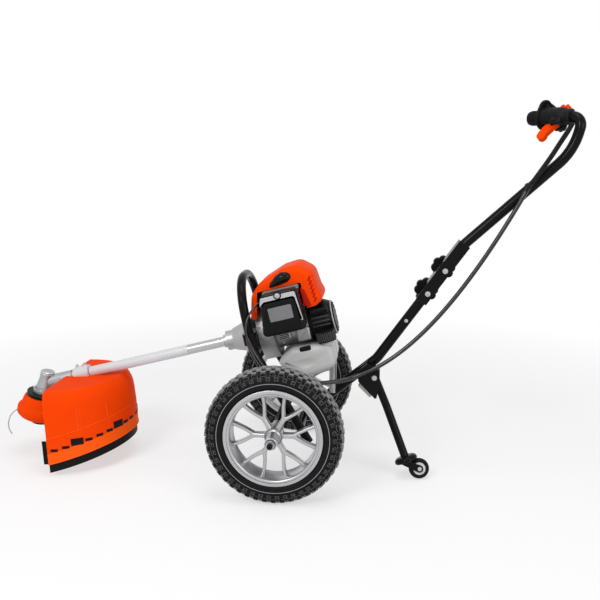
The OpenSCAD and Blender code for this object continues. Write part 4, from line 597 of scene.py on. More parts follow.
def inset(outline, amount):
    """Moves an outline inward by about the same amount everywhere."""
    p = np.array(outline, float)
    ahead = np.roll(p, -1, 0) - np.roll(p, 1, 0)
    ahead /= np.linalg.norm(ahead, axis=1)[:, None] + 1e-9
    x, y = p.T
    sign = 1 if np.sum(x * np.roll(y, -1) - y * np.roll(x, -1)) > 0 else -1
    return p + sign * amount * np.stack([-ahead[:, 1], ahead[:, 0]], 1)


def moulded(outline, low, high, edge_low, edge_high, steps=6):
    """A slab of an XZ outline from low to high in Y with rounded rims. A further ring keeps each flat flat."""
    def rim(edge):
        bend = [math.radians(90 * k / steps) for k in range(steps + 1)]
        return [(0, edge + min(1, edge * FLAT_RING))] + [
            (edge * (1 - math.cos(a)), edge * (1 - math.sin(a))) for a in bend]

    layers = [(low + rise, amount) for rise, amount in rim(edge_low)]
    layers += [(high - rise, amount) for rise, amount in reversed(rim(edge_high))]
    return skinned([[(x, y, z) for x, z in inset(outline, amount)] for y, amount in layers])


def block(centre, size, edge):
    """A small box with rounded edges across Y."""
    wide, deep, high = size
    points, faces = moulded(oblong(wide, high, edge * 1.5, 3), -deep / 2, deep / 2, edge, edge, 3)
    return [tuple(np.add(p, centre)) for p in points], faces


# %% Cutting and placing
def carved(name, body, slot, shapes, tool_shapes, place, replaces=(), sharp=32):
    """A piece made of shapes less some tools, placed by a matrix in millimetres."""
    worker, tools = shown(name + " solid", mesh_of(name + " solid", shapes, look[slot], sharp)), []
    for k, shape in enumerate(tool_shapes):
        tools.append(shown(f"{name} tool {k}", mesh_of(f"{name} tool {k}", [shape], look[slot])))
        modifier = worker.modifiers.new(f"cut {k}", "BOOLEAN")
        modifier.object, modifier.operation, modifier.solver = tools[-1], "DIFFERENCE", "MANIFOLD"
    mesh = result_of(worker, *tools)
    mesh.shade_smooth()
    mesh.set_sharp_from_angle(angle=math.radians(sharp))
    return piece(name, body, slot, placed(mesh, place), replaces=replaces)


def on_engine(name, slot, shapes, material=None, replaces=()):
    """A piece whose shapes are given along, across and above the drive axis."""
    return piece(name, "base", slot, [moved(shape, DRIVE) for shape in shapes], material, replaces)


def slab(name, slot, corners, radius, faces, material=None, replaces=()):
    """A rounded plate on the engine: its outline, then its two faces and their edges."""
    return on_engine(name, slot, [moulded(rounded(corners, radius), *faces)], material, replaces)


# %% Engine cover
HOOD_WALL, OPEN_BELOW, OPEN_DROP = 3, 62, 16
hood = rounded([(-73, 43), (-54, 107), (-27, 132), (30, 152), (71, 155), (103, 128), (107, 84), (114, 62),
                (100, 44), (60, 42), (-20, 42)], 30)
hollow = [(x, z - (OPEN_DROP if z < OPEN_BELOW else 0)) for x, z in inset(hood, HOOD_WALL)]
gap = rounded([(-55, -8), (72, -8), (72, 112), (-37, 112), (-54, 46)], 4)
bite = [moulded(gap, -103, -37, 4, 4), block((11, 72, 50), (122, 60, 112), 4)]
drum = moved(turned([(0, 60), (49.6, 60), (49.6, 128), (0, 128)], 64), turn("Y", 90))
made = carved("engine_hood", "base", "cover_orange", [moulded(hood, -69, 69, 13, 13)],
              [moulded(hollow, -66, 66, 10, 10), *bite, drum], DRIVE, ["engine_cover"])
baffle = [(-55, 72), (-49, 104), (-24, 126), (68, 148), (95, 122), (98, 54), (-18, 54), (-20, 70)]
slab("hood_baffle", "black_plastic", baffle, 6, (-36, -33, 0.6, 0.6))
print("hood faces", len(made.data.polygons))

# %% [markdown]
# On and around the hood sit smaller mouldings: the glossy oval over the plug lead, the air cleaner box with a
# pale strip along its top and right edges as a painted highlight, its bolt and bare plate, a recess and a row
# of cooling louvres, both in a dark red that is painted shade. They could be cut into the hood, but plates a
# fraction of a millimetre proud read as trim and keep a finish of their own. The oval bulges, so it is a dome
# of shrinking rings.

# %% Air cleaner and trim
DOME_STEPS, DOME_END = 9, 80


def domed(outline, foot, top):
    """A smooth bulge over an outline, which shrinks towards its middle as it rises from foot to top."""
    middle, rings = np.mean(outline, axis=0), []
    for k in range(DOME_STEPS + 1):
        a = math.radians(DOME_END * k / DOME_STEPS)
        ring = middle + (np.array(outline) - middle) * math.cos(a)
        rings.append([(x, foot + (top - foot) * math.sin(a), z) for x, z in ring])
    return skinned(rings)


box = [(-42, 7), (66, 7), (64.5, 109), (-24, 109)]
slab("cleaner_box", "black_plastic", box, 13, (-112, -85.4, 5, 0.6), gloss_black, ["air_cleaner_cover"])
front = [(-37, 12), (57, 12), (54, 87), (-23, 87)]
slab("cleaner_panel", "black_plastic", front, 9, (-114, -110, 1.6, 0.3))
# A pale strip along the top and right edges of the box: a painted highlight on its rounded edge
highlight_arch = [(-31, 83), (-25, 102), (59, 102), (63, 30), (58, 30), (54.5, 90), (-19, 90), (-26, 82)]
slab("cleaner_edge", "grey_plastic", highlight_arch, 6, (-113.4, -108, 1.2, 0.4), light_grey)
plate = [(-14, 41), (43, 41), (43, 74), (-14, 74)]
slab("bare_plate", "black_plastic", plate, 3, (-114.8, -113.4, 0.4, 0.2), slate)
seat = [(0, -114.4), (8.6, -114.4), (9.4, -113.6), (9.4, -110), (0, -110)]
lathe("cleaner_bolt_seat", "base", "black_plastic", seat, 40, DRIVE @ shift(17, 0, 100) @ turn("X", -90))
on_engine("cast_bosses", "cast_alloy", [block((-1, -52, -10), (32, 18, 16), 2),
                                        block((46, -50, -16), (34, 12, 34), 4)])
slits = [block((-1, -60.8, -14 + 4.2 * k), (26, 2, 2.4), 0.7) for k in range(3)]
on_engine("boss_slits", "black_plastic", slits)
shelf = [(-26, 101), (66, 101), (66, 111), (-22, 111)]
slab("cleaner_shelf", "grey_plastic", shelf, 4, (-84, -70, 2, 1), slate)
tear = rounded([(-9, 114), (0, 128), (14, 140), (30, 147), (46, 145), (55, 137), (53, 127), (42, 120),
                (20, 116)], 9)
on_engine("plug_shield", "black_plastic", [domed(tear, -64, -79)], gloss_black, replaces=["plug_cover"])
recess = [(67, 102), (77, 92), (84, 54), (77, 46), (67, 58)]
# The recess is a plate in the dark red: painted shade inside the hood's cut-out
slab("hood_recess", "cover_orange", recess, 2, (-69.5, -66, 0.4, 0.3), shade_red)
# Each louvre slit is a block in the dark red: painted shade in the slits
louvre = block((0, 0, 0), (13, 26, 4.4), 1.4)
louvres = [moved(louvre, shift(97 - 0.6 * k, -57.2, 64 + 10.5 * k) @ turn("Y", -58)) for k in range(6)]
on_engine("hood_louvres", "cover_orange", louvres, shade_red)
print("louvres", len(louvres), "boss slits", len(slits))

# %% [markdown]
# The fuel tank is milky polyethylene: the solid's outline with soft edges, a seam round the middle and a
# shallow groove in its side. Subdivision could soften a box, but it would lose the outline. So a rounded slab
# is cut by the engine's round saddle and by the groove, because both run out into its curve. A rubber grommet
# closes the hole in its shoulder, and the cap has grip ribs.

# %% Tank and cap
tank = rounded([(-40, -71), (9, -41), (111, -48), (108, -110), (24, -122)], 24)
seam = rounded([(-41, -71), (9, -40), (112, -48), (109, -111), (24, -123)], 24)
saddle = turned([(0, -80), (46.4, -80), (46.4, 61), (49.4, 61.6), (49.4, 140), (0, 140)], 72)
dent = swept([(4 + 4 * k, -90, -84) for k in range(17)],
             lambda t: circle(12 + 9.5 * math.sin(math.pi * t) ** 0.5, 64))
halves = [moulded(tank, -72, 72, 16, 16, 9), moulded(seam, -6, 6, 2, 2)]
made = carved("fuel_tank_moulding", "base", "tank_plastic", halves, [moved(saddle, turn("Y", 90)), dent], DRIVE,
              ["fuel_tank"], 55)
FILLER = DRIVE @ shift(99, -56, 0)
lathe("filler_neck", "base", "tank_plastic", [(0, -52), (16, -52), (16, -25), (0, -25)], 40, FILLER)
grommet = [(29, -55), (57, -55), (57, -44), (29, -44)]
slab("tank_grommet", "soft_rubber", grommet, 6, (-71.5, -60, 1.5, 0.5))
cap_ribs = ring_of("cap ribs", [block((23.2, 0, 0), (1.6, 3, 21), 0.7)], 28, FILLER @ shift(0, 0, -31), dim)
piece("cap_ribs", "filler_cap", "black_plastic", cap_ribs)
print("tank faces", len(made.data.polygons))

# %% [markdown]
# The recoil starter closes the engine's rear end. Its face has a ring of vents, which Geometry Nodes spins, and
# a pale rim where light catches the step. Four ribs run along its near side. A pale bare band covers the drive
# tube's long middle stretch. It could be a change of finish along the tube, but a thin sleeve is simpler and
# has a crisp edge.

# %% Starter and tube details
vents = ring_of("starter vents", [block((31, 0, 126.2), (13, 4, 2.4), 0.9)], 14, CRANK, look["soft_rubber"])
piece("starter_vents", "base", "black_plastic", vents)
rib = block((49.2, 0, 94), (2.4, 3, 44), 0.9)
ribs = [moved(rib, CRANK @ turn("Z", 270 + d)) for d in (-30, -18, -6, 6)]
piece("starter_ribs", "base", "black_plastic", ribs, dim)
rim = [(40.4, 123.4), (41.6, 124.6), (43, 123.2), (42, 121.8)]
lathe("starter_rim", "base", "grey_plastic", rim, 72, CRANK, light_grey)
band = [(13.1, -262), (13.35, -262), (13.35, -532), (13.1, -532)]
lathe("tube_band", "base", "cast_alloy", band, 64, CRANK, pale)
print("vent faces", len(vents.polygons), "starter ribs", len(ribs))

# %% [markdown]
# The guard is a deep scoop: a half-oval plan whose lower edge rises to the rear. It could be a bent sheet, but
# the rule is simple, so it is computed again with many more columns than the solid has. A raised band runs
# along the lower edge in a lighter orange, a painted highlight for the light its outward flare catches. Dark
# slots just above it are painted shade for the openings, and shallow ribs stiffen the wall. All of them follow
# the same rule, so they stay on the surface.

# %% Guard
LENGTH, HALF, DEPTH, REAR = 169, 163, 184, 144
SLOPE = (DEPTH - REAR) / LENGTH
WALL = 3
GUARD = shift(-579, 0, 214) @ turn("Y", -2.5)
# Shares of length, half width and depth, from the top down
ROWS = [(0.86, 0.93, 0), (0.9, 0.956, 0.035), (0.93, 0.978, 0.08), (0.958, 0.992, 0.14), (0.98, 1, 0.22),
        (0.993, 1, 0.35), (1, 1, 0.5), (1, 1, 0.75), (1, 1, 1)]
# Two heights on the wall and how far the strip stands out
BELT, BAND, LIP = (66, 28, 0.7), (28, 2, 1.4), (0.985, 1.0, 2.4)
RIBS, RIB_TOP, RIB_FOOT = (-62, -36, 36, 62), 0.3, 38
RIB_SECTION = rounded([(-4, -0.5), (4, -0.5), (1.5, 1), (-1.5, 1)], 0.4, 2)
# A slot's size and its height above the lower edge
BIG_SLOT, SMALL_SLOT = ((2.6, 30, 18), 38), ((2.6, 18, 7.5), 33)
BIG_PLACES = (2, 6)
SLOTS, FIRST_SLOT, SLOT_STEP = 9, 84, 9.6


# %% The scoop's rule
def guard_point(row, a, thin):
    x = (LENGTH * row[0] - thin) * math.cos(a)
    low, high = x * SLOPE - DEPTH, -thin
    return x, (HALF * row[1] - thin) * math.sin(a), high + row[2] * (low - high)


def above(a, rise):
    """The share of the depth that lies the given rise above the lower edge."""
    return 1 - rise / (DEPTH - LENGTH * math.cos(a) * SLOPE)


def facing_out(a):
    return math.atan2(math.sin(a) / HALF, math.cos(a) / LENGTH)


def scoop(rows, outer, inner, columns=72):
    """A shell between two insets over the given rows, closed at every edge but the first row. A row's depth is
    a share, or a rise above the lower edge when it is over 1."""
    points, faces, n, m = [], [], columns + 1, len(rows)
    for thin in (outer, inner):
        for out, wide, deep in rows:
            for k in range(n):
                a = math.pi * k / columns - math.pi / 2
                points.append(guard_point((out, wide, above(a, deep) if deep > 1 else deep), a, thin))

    def at(skin, j, k):
        return (skin * m + j) * n + k

    for j in range(m - 1):
        for k in range(columns):
            for skin in (0, 1):
                faces.append((at(skin, j, k), at(skin, j, k + 1), at(skin, j + 1, k + 1), at(skin, j + 1, k)))
    edge = [(j, 0) for j in range(m)] + [(m - 1, k) for k in range(1, n)]
    edge += [(j, columns) for j in range(m - 2, -1, -1)]
    for (j, k), (p, q) in zip(edge, edge[1:]):
        faces.append((at(0, j, k), at(0, p, q), at(1, p, q), at(1, j, k)))
    return points, faces, at, n


def belt(low, high, out):
    """A raised strip between two heights of the wall."""
    points, faces, at, n = scoop([(1, 1, low), (1, 1, high)], -out, out / 2)
    faces += [(at(0, 0, k), at(0, 0, k + 1), at(1, 0, k + 1), at(1, 0, k)) for k in range(n - 1)]
    return moved((points, faces), GUARD)


# %% Guard pieces
points, faces, at, n = scoop(ROWS, 0, WALL)
faces += [tuple(at(0, 0, k) for k in range(n)), tuple(at(1, 0, k) for k in range(n)),
          (at(0, 0, 0), at(0, 0, n - 1), at(1, 0, n - 1), at(1, 0, 0))]
guard_shapes = [moved((points, faces), GUARD), belt(*BELT)]
# The band and lip take the lighter orange: a painted highlight where the flared edge catches light
piece("guard_band", "base", "cover_orange", [belt(*BAND), belt(*LIP)], lit_orange)
for degrees in RIBS:
    a = math.radians(degrees)
    out = facing_out(a)
    path = [guard_point((1, 1, t), a, 0.2) for t in np.linspace(RIB_TOP, above(a, RIB_FOOT), 9)]
    guard_shapes.append(moved(swept(path, RIB_SECTION, (math.cos(out), math.sin(out), 0)), GUARD))
piece("guard_scoop", "base", "cover_orange", guard_shapes, replaces=["guard"])
# The slots are dark blocks in a black finish: painted shade for the openings in the wall
slots = []
for side in (-1, 1):
    for k in range(SLOTS):
        size, rise = BIG_SLOT if k in BIG_PLACES else SMALL_SLOT
        a = side * math.radians(FIRST_SLOT - SLOT_STEP * k)
        spot = guard_point((1, 1, above(a, rise)), a, -0.2)
        place = GUARD @ shift(*spot) @ turn("Z", math.degrees(facing_out(a)))
        slots.append(moved(block((0, 0, 0), size, 0.9), place))
piece("guard_slots", "base", "cover_orange", slots, look["soft_rubber"])
cutter = block((-1, -158.3, -154), (26, 2, 60), 0.6)
piece("cutter_plate", "base", "frame_paint", [moved(cutter, GUARD)], replaces=["line_cutter"])
print("guard slots", len(slots))

# %% [markdown]
# The trimmer head is a smooth bell of orange-red plastic under a black holder disc. Two metal eyelets let the
# line out, and a curl of nylon line hangs from one of them. Bell, eyelets and gear cap are round, so they are
# turned. The line could be a bevelled curve; a sweep along a smooth path gives a closed mesh at once, and a few
# points keep the curl of the spool.

# %% A smooth path
FINE_STEPS = 24


def curve_through(points, spacing):
    """A smooth curve through given points, resampled at an even spacing."""
    p = np.array(points, float)
    ends = np.vstack([2 * p[0] - p[1], p, 2 * p[-1] - p[-2]])
    fine = []
    for i in range(1, len(ends) - 2):
        a, b, c, d = ends[i - 1:i + 3]
        t = np.linspace(0, 1, FINE_STEPS, endpoint=False)[:, None]
        fine.append(b + 0.5 * t * (c - a + t * (2 * a - 5 * b + 4 * c - d + t * (3 * (b - c) + d - a))))
    fine = np.vstack(fine + [p[-1:]])
    run = np.concatenate([[0], np.cumsum(np.linalg.norm(np.diff(fine, axis=0), axis=1))])
    at = np.linspace(0, run[-1], max(2, int(run[-1] / spacing) + 1))
    return np.stack([np.interp(at, run, fine[:, k]) for k in range(3)], 1)


# %% Head and line
HEAD_TOP, HEAD_HEIGHT, LINE_TURN = 36.7, 60, 215
HEAD = GEAR @ shift(0, 0, -HEAD_TOP - HEAD_HEIGHT)
bell = [(0, 60), (40, 60), (45, 59), (48.5, 55.6), (51, 49), (52.6, 41), (53.6, 35), (57, 32.4), (60.6, 29),
        (62, 24), (62, 14), (60, 9), (53, 2), (49.6, 0), (43, 0), (43, 40), (0, 40)]
lathe("head_bell", "cutter", "cover_orange", bell, 96, HEAD, replaces=["head_shell"])
eyelet = turned([(2.4, -3), (4.6, -3), (4.6, 2), (2.4, 2)], 24)
eyelets = [moved(eyelet, HEAD @ turn("Z", LINE_TURN + d) @ shift(61.5, 0, 18) @ turn("Y", 90)) for d in (0, 180)]
piece("line_eyelets", "cutter", "zinc_steel", eyelets)
line_route = [(44, 0, 18), (56, 0, 18), (65, 1, 16), (73, 4, 10), (79, 8, 1), (82, 13, -11), (81, 18, -23),
              (77, 22, -33), (71, 25, -40)]
nylon = swept(curve_through(line_route, 2), circle(1.5, 12))
piece("nylon_line", "cutter", "nylon_line", [moved(nylon, HEAD @ turn("Z", LINE_TURN))],
      replaces=["trimmer_line"])
sleeve = [(0, 31.4), (15.6, 31.4), (18.2, 29), (18.2, 26.4), (17.6, 25.6), (18.2, 24.8), (18.2, 4), (16.9, 4),
          (16.9, 30.2), (0, 30.2)]
lathe("gear_cap_sleeve", "base", "cast_alloy", sleeve, 64, GEAR)
print("line length about", len(curve_through(line_route, 1)), "mm")

# %% [markdown]
# The throttle cable is clipped at the engine and at the grip, and between the stand and its upper clip it hangs
# free in one arc. It crosses the pole's fold. It could be split there, but a real cable bends, so it is one
# piece on no body. The ribbed conduit above it is a row of rings, which Geometry Nodes sets along the same kind
# of curve.

# %% Cable and conduit
cable_route = [(-51, -80, 435), (-58, -92, 431), (-69, -106, 419), (-78, -117, 402), (-81, -123, 386),
               (-81, -126, 370), (-78, -127, 356), (-73, -127, 341), (-66, -127, 326), (-56, -127, 308),
               (-44, -126, 290), (-32, -124, 276), (-18, -121, 264), (0, -116, 253), (20, -110, 246),
               (48, -101, 241), (80, -88, 237), (110, -70, 235), (138, -57, 236), (162, -51, 241)]
LEAVES, PULLED, CLIPPED = Vector((190, -48.5, 252)), Vector((372, -28, 322)), Vector((571, -19, 706))
STEP, RIB_STEP = 5, 3.6
THIN, SLEEVED = 2.5, 5.3
SLEEVE_FROM, SLEEVE_FLARE = 0.1, 0.006
cable_route += [LEAVES.lerp(PULLED, t).lerp(PULLED.lerp(CLIPPED, t), t) for t in np.linspace(0, 1, 16)]
cable_path = curve_through(cable_route, STEP)


def sleeve_of(t):
    """The bare end is thin; past the engine the cable wears a thicker sleeve."""
    return circle(THIN + (SLEEVED - THIN) * min(1, max(0, (t - SLEEVE_FROM) / SLEEVE_FLARE)), 16)


cable = piece("control_cable", None, "soft_rubber", [swept(cable_path, sleeve_of)], sheath,
              replaces=["throttle_cable"])
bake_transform(cable)
print("cable", STEP * len(cable_path), "mm")


# %% Conduit and clip
def on_points(name, shapes, spots, material):
    """Copies of a shape on spots: each has a place in millimetres, a direction and a size."""
    carrier = bpy.data.meshes.new(name)
    carrier.from_pydata([tuple(Vector(place) / 1000) for place, facing, size in spots], [], [])
    carrier.attributes.new("facing", "FLOAT_VECTOR", "POINT")
    carrier.attributes.new("size", "FLOAT", "POINT")
    for k, (place, facing, size) in enumerate(spots):
        carrier.attributes["facing"].data[k].vector = Vector(facing)
        carrier.attributes["size"].data[k].value = size
    return repeated(name, point_tree, carrier, shapes, material)


conduit_route = [(571.2, -19, 706.3), (595, -20, 742), (618, -21, 778), (638, -21, 812), (651, -19, 833),
                 (660, -17, 850)]
conduit_path = curve_through(conduit_route, RIB_STEP)
rings = [(p, Vector(d).normalized(), 1.0) for p, d in zip(conduit_path, np.gradient(conduit_path, axis=0))]
rib_ring = turned([(3.6, -1.7), (5.0, -1.8), (5.9, -1.0), (6.1, 0), (5.9, 1.0), (5.0, 1.8), (3.6, 1.7)], 20)
mesh = on_points("conduit", [rib_ring], rings, look["black_plastic"])
piece("ribbed_conduit", "handle", "black_plastic", mesh, replaces=["cable_conduit"])
clip_route = [(563, 14, 689), (566, 16, 697), (571, 10, 712), (573, -4, 716), (574, -20, 715), (571, -27, 708),
              (565, -24, 700), (561, -12, 690)]
piece("cable_clip", "handle", "black_plastic", [swept(curve_through(clip_route, 2), soft_bar(2.4, 9))])
print("conduit ribs", len(rings))

# %% [markdown]
# The grip end is a throttle body on the pole's bent end, with a guard flange and a ribbed grip. It is round, so
# it is turned. The solids carry the trigger and the switch, which move, so slots are cut for them; without
# slots they would pass through the body. Ribs round the grip make it read as a handle.

# %% Throttle control
GRIP = shift(689.4, 0, 867.8) @ turn("Z", 135) @ turn("X", 32)
body = [(0, 137), (12.6, 137), (12.6, 30), (17.5, 30), (19, 31.5), (19, 42), (19.6, 44), (22.4, 50), (23.4, 56),
        (23.6, 92), (24.4, 105), (24.4, 109), (19, 110.6), (17, 112), (16.4, 120), (17, 138), (15.6, 143),
        (11, 145.6), (0, 146)]
trigger_slot = block((77.5, 0, -38), (49, 14, 49), 0.8)
switch_pocket = block((57.5, 0, 25), (40, 14, 12), 0.8)
made = carved("throttle_body", "handle", "black_plastic", [moved(turned(body, 64), turn("Y", 90))],
              [trigger_slot, switch_pocket], GRIP, ["control_body"])
pin_cap = turned([(0, 23.6), (3.2, 23.6), (3.2, 17), (6.4, 17), (6.4, 23), (5, 24.8), (0, 25.2)], 28)
ramp = rounded([(74, 12), (105, 12), (105, 41), (98, 37), (78, 24)], 3)
cheeks = [moved(block((60, s * 13, -19), (30, 12, 18), 4), GRIP) for s in (-1, 1)]
cheeks += [moved(pin_cap, GRIP @ shift(62, 0, -20) @ turn("X", s * 90)) for s in (-1, 1)]
cheeks.append(moved(moulded(ramp, -15, 15, 4, 4), GRIP))
piece("trigger_cheeks", "handle", "black_plastic", cheeks)
FLANGE, FLANGE_RISE = 29, 16
arc = [(FLANGE * math.cos(a), FLANGE * math.sin(a)) for a in (math.radians(7.5 * k) for k in range(24))]
oval = [(x, y + FLANGE_RISE) for x, y in arc] + [(-x, -y) for x, y in arc]
bar_hole = moved(turned([(0, 90), (12.6, 90), (12.6, 120), (0, 120)], 48), turn("X", -90))
carved("control_flange", "handle", "black_plastic", [moulded(oval, 104, 110, 1.4, 1.4)], [bar_hole],
       GRIP @ turn("Z", -90))
grip_ribs = ring_of("grip ribs", [block((17, 0, 126), (1.8, 3.2, 22), 0.7)], 16, GRIP @ turn("Y", 90),
                    look["soft_rubber"])
piece("grip_ribs", "handle", "black_plastic", grip_ribs)
print("throttle faces", len(made.data.polygons))

# %% [markdown]
# Two star knobs clamp the folding channel from the far side. Fingers need a hold, so the rim waves in and out.
# A plain sine would leave it slack, so the outline is a row of full, round lobes. Each knob sits where the
# frame's own joint turns, so it stays on its bolt.

# %% Star knobs
LOBES, WAVE_STEPS = 8, 144
VALLEY, LOBE_RISE, LOBE_FULLNESS = 25.2, 4.6, 0.7
waves = [2 * math.pi * (k + 0.5) / WAVE_STEPS for k in range(WAVE_STEPS)]
reach = [VALLEY + LOBE_RISE * abs(math.cos(LOBES / 2 * a)) ** LOBE_FULLNESS for a in waves]
star = [(r * math.cos(a), r * math.sin(a)) for r, a in zip(reach, waves)]
bore = moved(turned([(0, 0), (4.6, 0), (4.6, 80), (0, 80)], 32), turn("X", -90))
stem = moved(turned([(0, 16.4), (11.6, 16.4), (12, 17), (12, 38), (0, 38)], 40), turn("X", -90))
joints = {joint["name"]: joint for joint in frame["joints"]}


def pivot(name):
    """Where a joint of the frame turns, in millimetres."""
    return Vector(joints[name]["pos_m"]) * 1000


for name in ("upper", "lower"):
    made = carved(name + "_star_knob", "knob_" + name, "black_plastic", [moulded(star, 37.4, 55, 2.5, 3.5), stem],
                  [bore], shift(*pivot(name + "_knob_turn")), [name + "_knob"])
    print(name, "knob faces", len(made.data.polygons))

# %% [markdown]
# The castor is a small black tyre on a pale disc with a light core, under a pressed bowl. One turned wheel with
# three materials would do, but three closed rings keep each finish on a piece of its own. The frame's joints
# give both axes, so wheel and bowl turn true.

# %% Castor wheel
def on_axle(name):
    """A joint's place, with Z along its axis."""
    aim = Vector(joints[name]["axis"]).to_track_quat("Z", "Y")
    return Matrix.Translation(pivot(name)) @ aim.to_matrix().to_4x4()


castor, swivel = on_axle("castor_spin"), on_axle("castor_swivel")
tread = [(14.5, -8.6), (18, -9.4), (21.5, -8.4), (24.2, -5.4), (25, 0), (24.2, 5.4), (21.5, 8.4), (18, 9.4),
         (14.5, 8.6)]
lathe("castor_tyre", "castor", "soft_rubber", tread, 64, castor, replaces=["castor_wheel"])
disc = [(9, -8.4), (14.8, -8.8), (15.6, -8), (15.6, 8), (14.8, 8.8), (9, 8.4)]
lathe("castor_disc", "castor", "soft_rubber", disc, 48, castor, pale)
bowl = [(10, 5), (16, 5.6), (23, 4), (27, 0.6), (28.4, -3), (28, -7), (26.6, -8.6), (25.4, -8), (25.4, -4),
        (10, -4)]
lathe("castor_bowl", "stand", "frame_paint", bowl, 64, swivel)
bolt_cap = turned([(0, 18.4), (3, 18.2), (4.6, 17), (5, 15.6), (0, 15.6)], 28)
caps = [moved(bolt_cap, castor @ turn("X", d)) for d in (0, 180)]
piece("castor_bolt_caps", "fork", "zinc_steel", caps, light_grey)
core = [(3.2, -10), (8.6, -10), (9.4, -9), (9.4, 9), (8.6, 10), (3.2, 10)]
lathe("castor_core", "castor", "soft_rubber", core, 40, castor, light_grey)
print("castor at", tuple(round(x) for x in castor.translation))

# %% [markdown]
# Screws and bolt heads are plated hexagons with a washer, alike but for their size. Each could be placed by
# hand; instead one head is copied to points that carry a direction and a scale. Those on the pole turn with it,
# so they are a piece of their own.

# %% Screws and bolts
NEARWARDS, UPWARDS, FORWARDS = (0, -1, 0), (0, 0, 1), (-1, 0, 0)
hexagon = circle(5.6, 6)
head = skinned([[(x * share, y * share, z) for x, y in hexagon] for share, z in ((1, 1), (1, 4.4), (0.86, 5))])
washer = turned([(0, 0), (7.4, 0), (7.4, 1.1), (0, 1.1)], 32)


def in_frame(matrix, place, facing, scale):
    return matrix @ Vector(place), matrix.to_3x3() @ Vector(facing), scale


def ring_spots(first):
    """Four angles a quarter turn apart, with their cosines and sines."""
    angles = np.linspace(first, first + 2 * math.pi, 4, endpoint=False)
    return [(math.cos(a), math.sin(a)) for a in angles]


base_spots = [in_frame(DRIVE, (17, -114.2, 100), NEARWARDS, 0.85)]
for a in (3.5, 3.9, 5.2):
    outwards = Vector((0, math.cos(a), math.sin(a)))
    base_spots.append(in_frame(DRIVE, Vector((-12, 0, 0)) + 44 * outwards, outwards, 0.7))
base_spots += [in_frame(DRIVE, (-93, 42 * y, 42 * z), FORWARDS, 0.55) for y, z in ring_spots(0.5)]
base_spots += [in_frame(DRIVE, (u, 0, 24), UPWARDS, 0.6) for u in (-565, -545)]
base_spots += [in_frame(GEAR, (26.4 * x, 26.4 * y, -17.9), UPWARDS, 0.5) for x, y in ring_spots(0.4)]
base_spots += [in_frame(DRIVE, (-600, -16.2, 0), NEARWARDS, 0.6), in_frame(DRIVE, (-618, -16.2, 3), NEARWARDS, 0.5)]
base_spots += [((222, -46.6, 243), NEARWARDS, 0.85), ((297, -12.4, 381), NEARWARDS, 0.6)]
base_spots += [((-75 + 2 * s, 117 * s, 348), (0, s, 0), 0.6) for s in (-1, 1)]
handle_spots = [(pivot(name) + Vector((0, -20.6, 0)), NEARWARDS, 0.6)
                for name in ("lower_knob_turn", "upper_knob_turn")]
zinc = look["zinc_steel"]
for body, spots in (("base", base_spots), ("handle", handle_spots)):
    piece(body + "_screws", body, "zinc_steel", on_points(body + " screws", [head, washer], spots, zinc))
print("screws", len(base_spots) + len(handle_spots))

# %% [markdown]
# A pale floor and three large soft lamps give the even light of a product photograph. The backdrop is white
# where the camera, a mirror or a clear piece looks at it, and dimmer as a source of light, so black stays
# black. Near the machine the floor keeps its shadow; further out it fades to white. The camera stands where
# the photograph's stood: a little to the rear of the axle, looking slightly down.

# %% Floor
FLOOR_REACH, FLOOR_DROP = 6, 0.0008
SKY = 0.5
NEAR, FAR, WASH = 0.9, 1.9, 0.55
WHITE = (1, 1, 1, 1)


def seen_by(shade):
    """1 for rays from the camera, a mirror or a clear piece, 0 for those that carry light."""
    ray = shade.node("ShaderNodeLightPath")
    kinds = [shade.out(ray, name) for name in ("Is Camera Ray", "Is Glossy Ray", "Is Transmission Ray")]
    return kinds[0].most(kinds[1]).most(kinds[2])


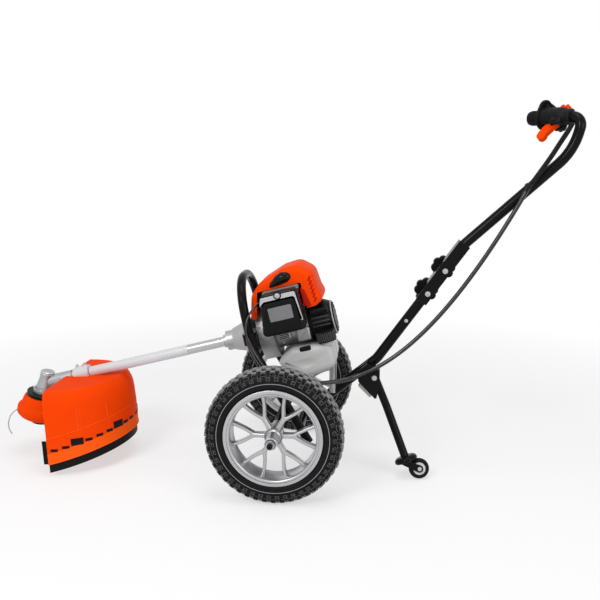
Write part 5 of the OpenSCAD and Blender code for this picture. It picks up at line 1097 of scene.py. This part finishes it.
pale_floor = finish("pale floor", 0.94, 0.92, 0.7, 0.03, 3, 200, bump=0.02, shine=0.1)
ground = Tree(pale_floor.node_tree)
spot = ground.node("ShaderNodeTexCoord")
reach = ground.node("ShaderNodeVectorMath", {"operation": "LENGTH"}, {0: ground.out(spot, "Object")})
away = ((ground.out(reach, "Value") - NEAR) * (1 / (FAR - NEAR))).most(0.0)
open_floor = (away * (1 - WASH) + WASH).least(1.0)
white = ground.node("ShaderNodeEmission", None, {"Color": WHITE, "Strength": 1.0})
lit = next(node for node in ground.tree.nodes if node.type == "BSDF_PRINCIPLED")
both = ground.node("ShaderNodeMixShader", None, {
    0: open_floor * seen_by(ground), 1: ground.out(lit), 2: ground.out(white)})
sink = next(node for node in ground.tree.nodes if node.type == "OUTPUT_MATERIAL")
ground.tree.links.new(both.outputs[0], sink.inputs["Surface"])
corners = [(x * FLOOR_REACH, y * FLOOR_REACH, -FLOOR_DROP) for x, y in ((-1, -1), (1, -1), (1, 1), (-1, 1))]
floor_mesh = bpy.data.meshes.new("floor")
floor_mesh.from_pydata(corners, [], [(0, 1, 2, 3)])
floor_mesh.materials.append(pale_floor)
floor = shown("floor", floor_mesh)
print("floor", 2 * FLOOR_REACH, "m wide")

# %% Backdrop and lamps
world = bpy.data.worlds.new("studio")
scene = bpy.context.scene
scene.world = world
air = emptied(world)
strength = SKY + seen_by(air) * (1 - SKY)
backdrop = air.node("ShaderNodeBackground", None, {"Color": WHITE, "Strength": strength})
air.node("ShaderNodeOutputWorld", None, {"Surface": air.out(backdrop)})


def lamp(name, place, target, size, watts):
    data = bpy.data.lights.new(name, "AREA")
    data.size, data.energy = size, watts
    made = shown(name, data)
    made.location = place
    made.rotation_euler = (Vector(target) - Vector(place)).to_track_quat("-Z", "Y").to_euler()


lamp("key", (-1.2, -2.4, 2.3), (0, 0, 0.35), 1.1, 42)
lamp("fill", (2.3, -1.9, 1.5), (0.1, 0, 0.4), 1.3, 20)
lamp("top", (0.1, -0.5, 2.8), (0, 0, 0.3), 1.2, 16)
print("lamps", len(bpy.data.lights))

# %% Camera
EYE, YAW, PITCH = (0.227, -1.835, 0.774), math.radians(-6.01), math.radians(10.7)
ahead = Vector((math.sin(YAW) * math.cos(PITCH), math.cos(YAW) * math.cos(PITCH), -math.sin(PITCH)))
right = Vector((math.cos(YAW), -math.sin(YAW), 0))
up = right.cross(ahead)
lens = bpy.data.cameras.new("camera")
lens.sensor_width, lens.lens = 36, 45.18
camera = shown("camera", lens)
camera.matrix_world = Matrix.Translation(EYE) @ Matrix((right, up, -ahead)).transposed().to_4x4()
scene.camera = camera
scene.view_settings.view_transform = "Standard"
print("lens", lens.lens, "mm")
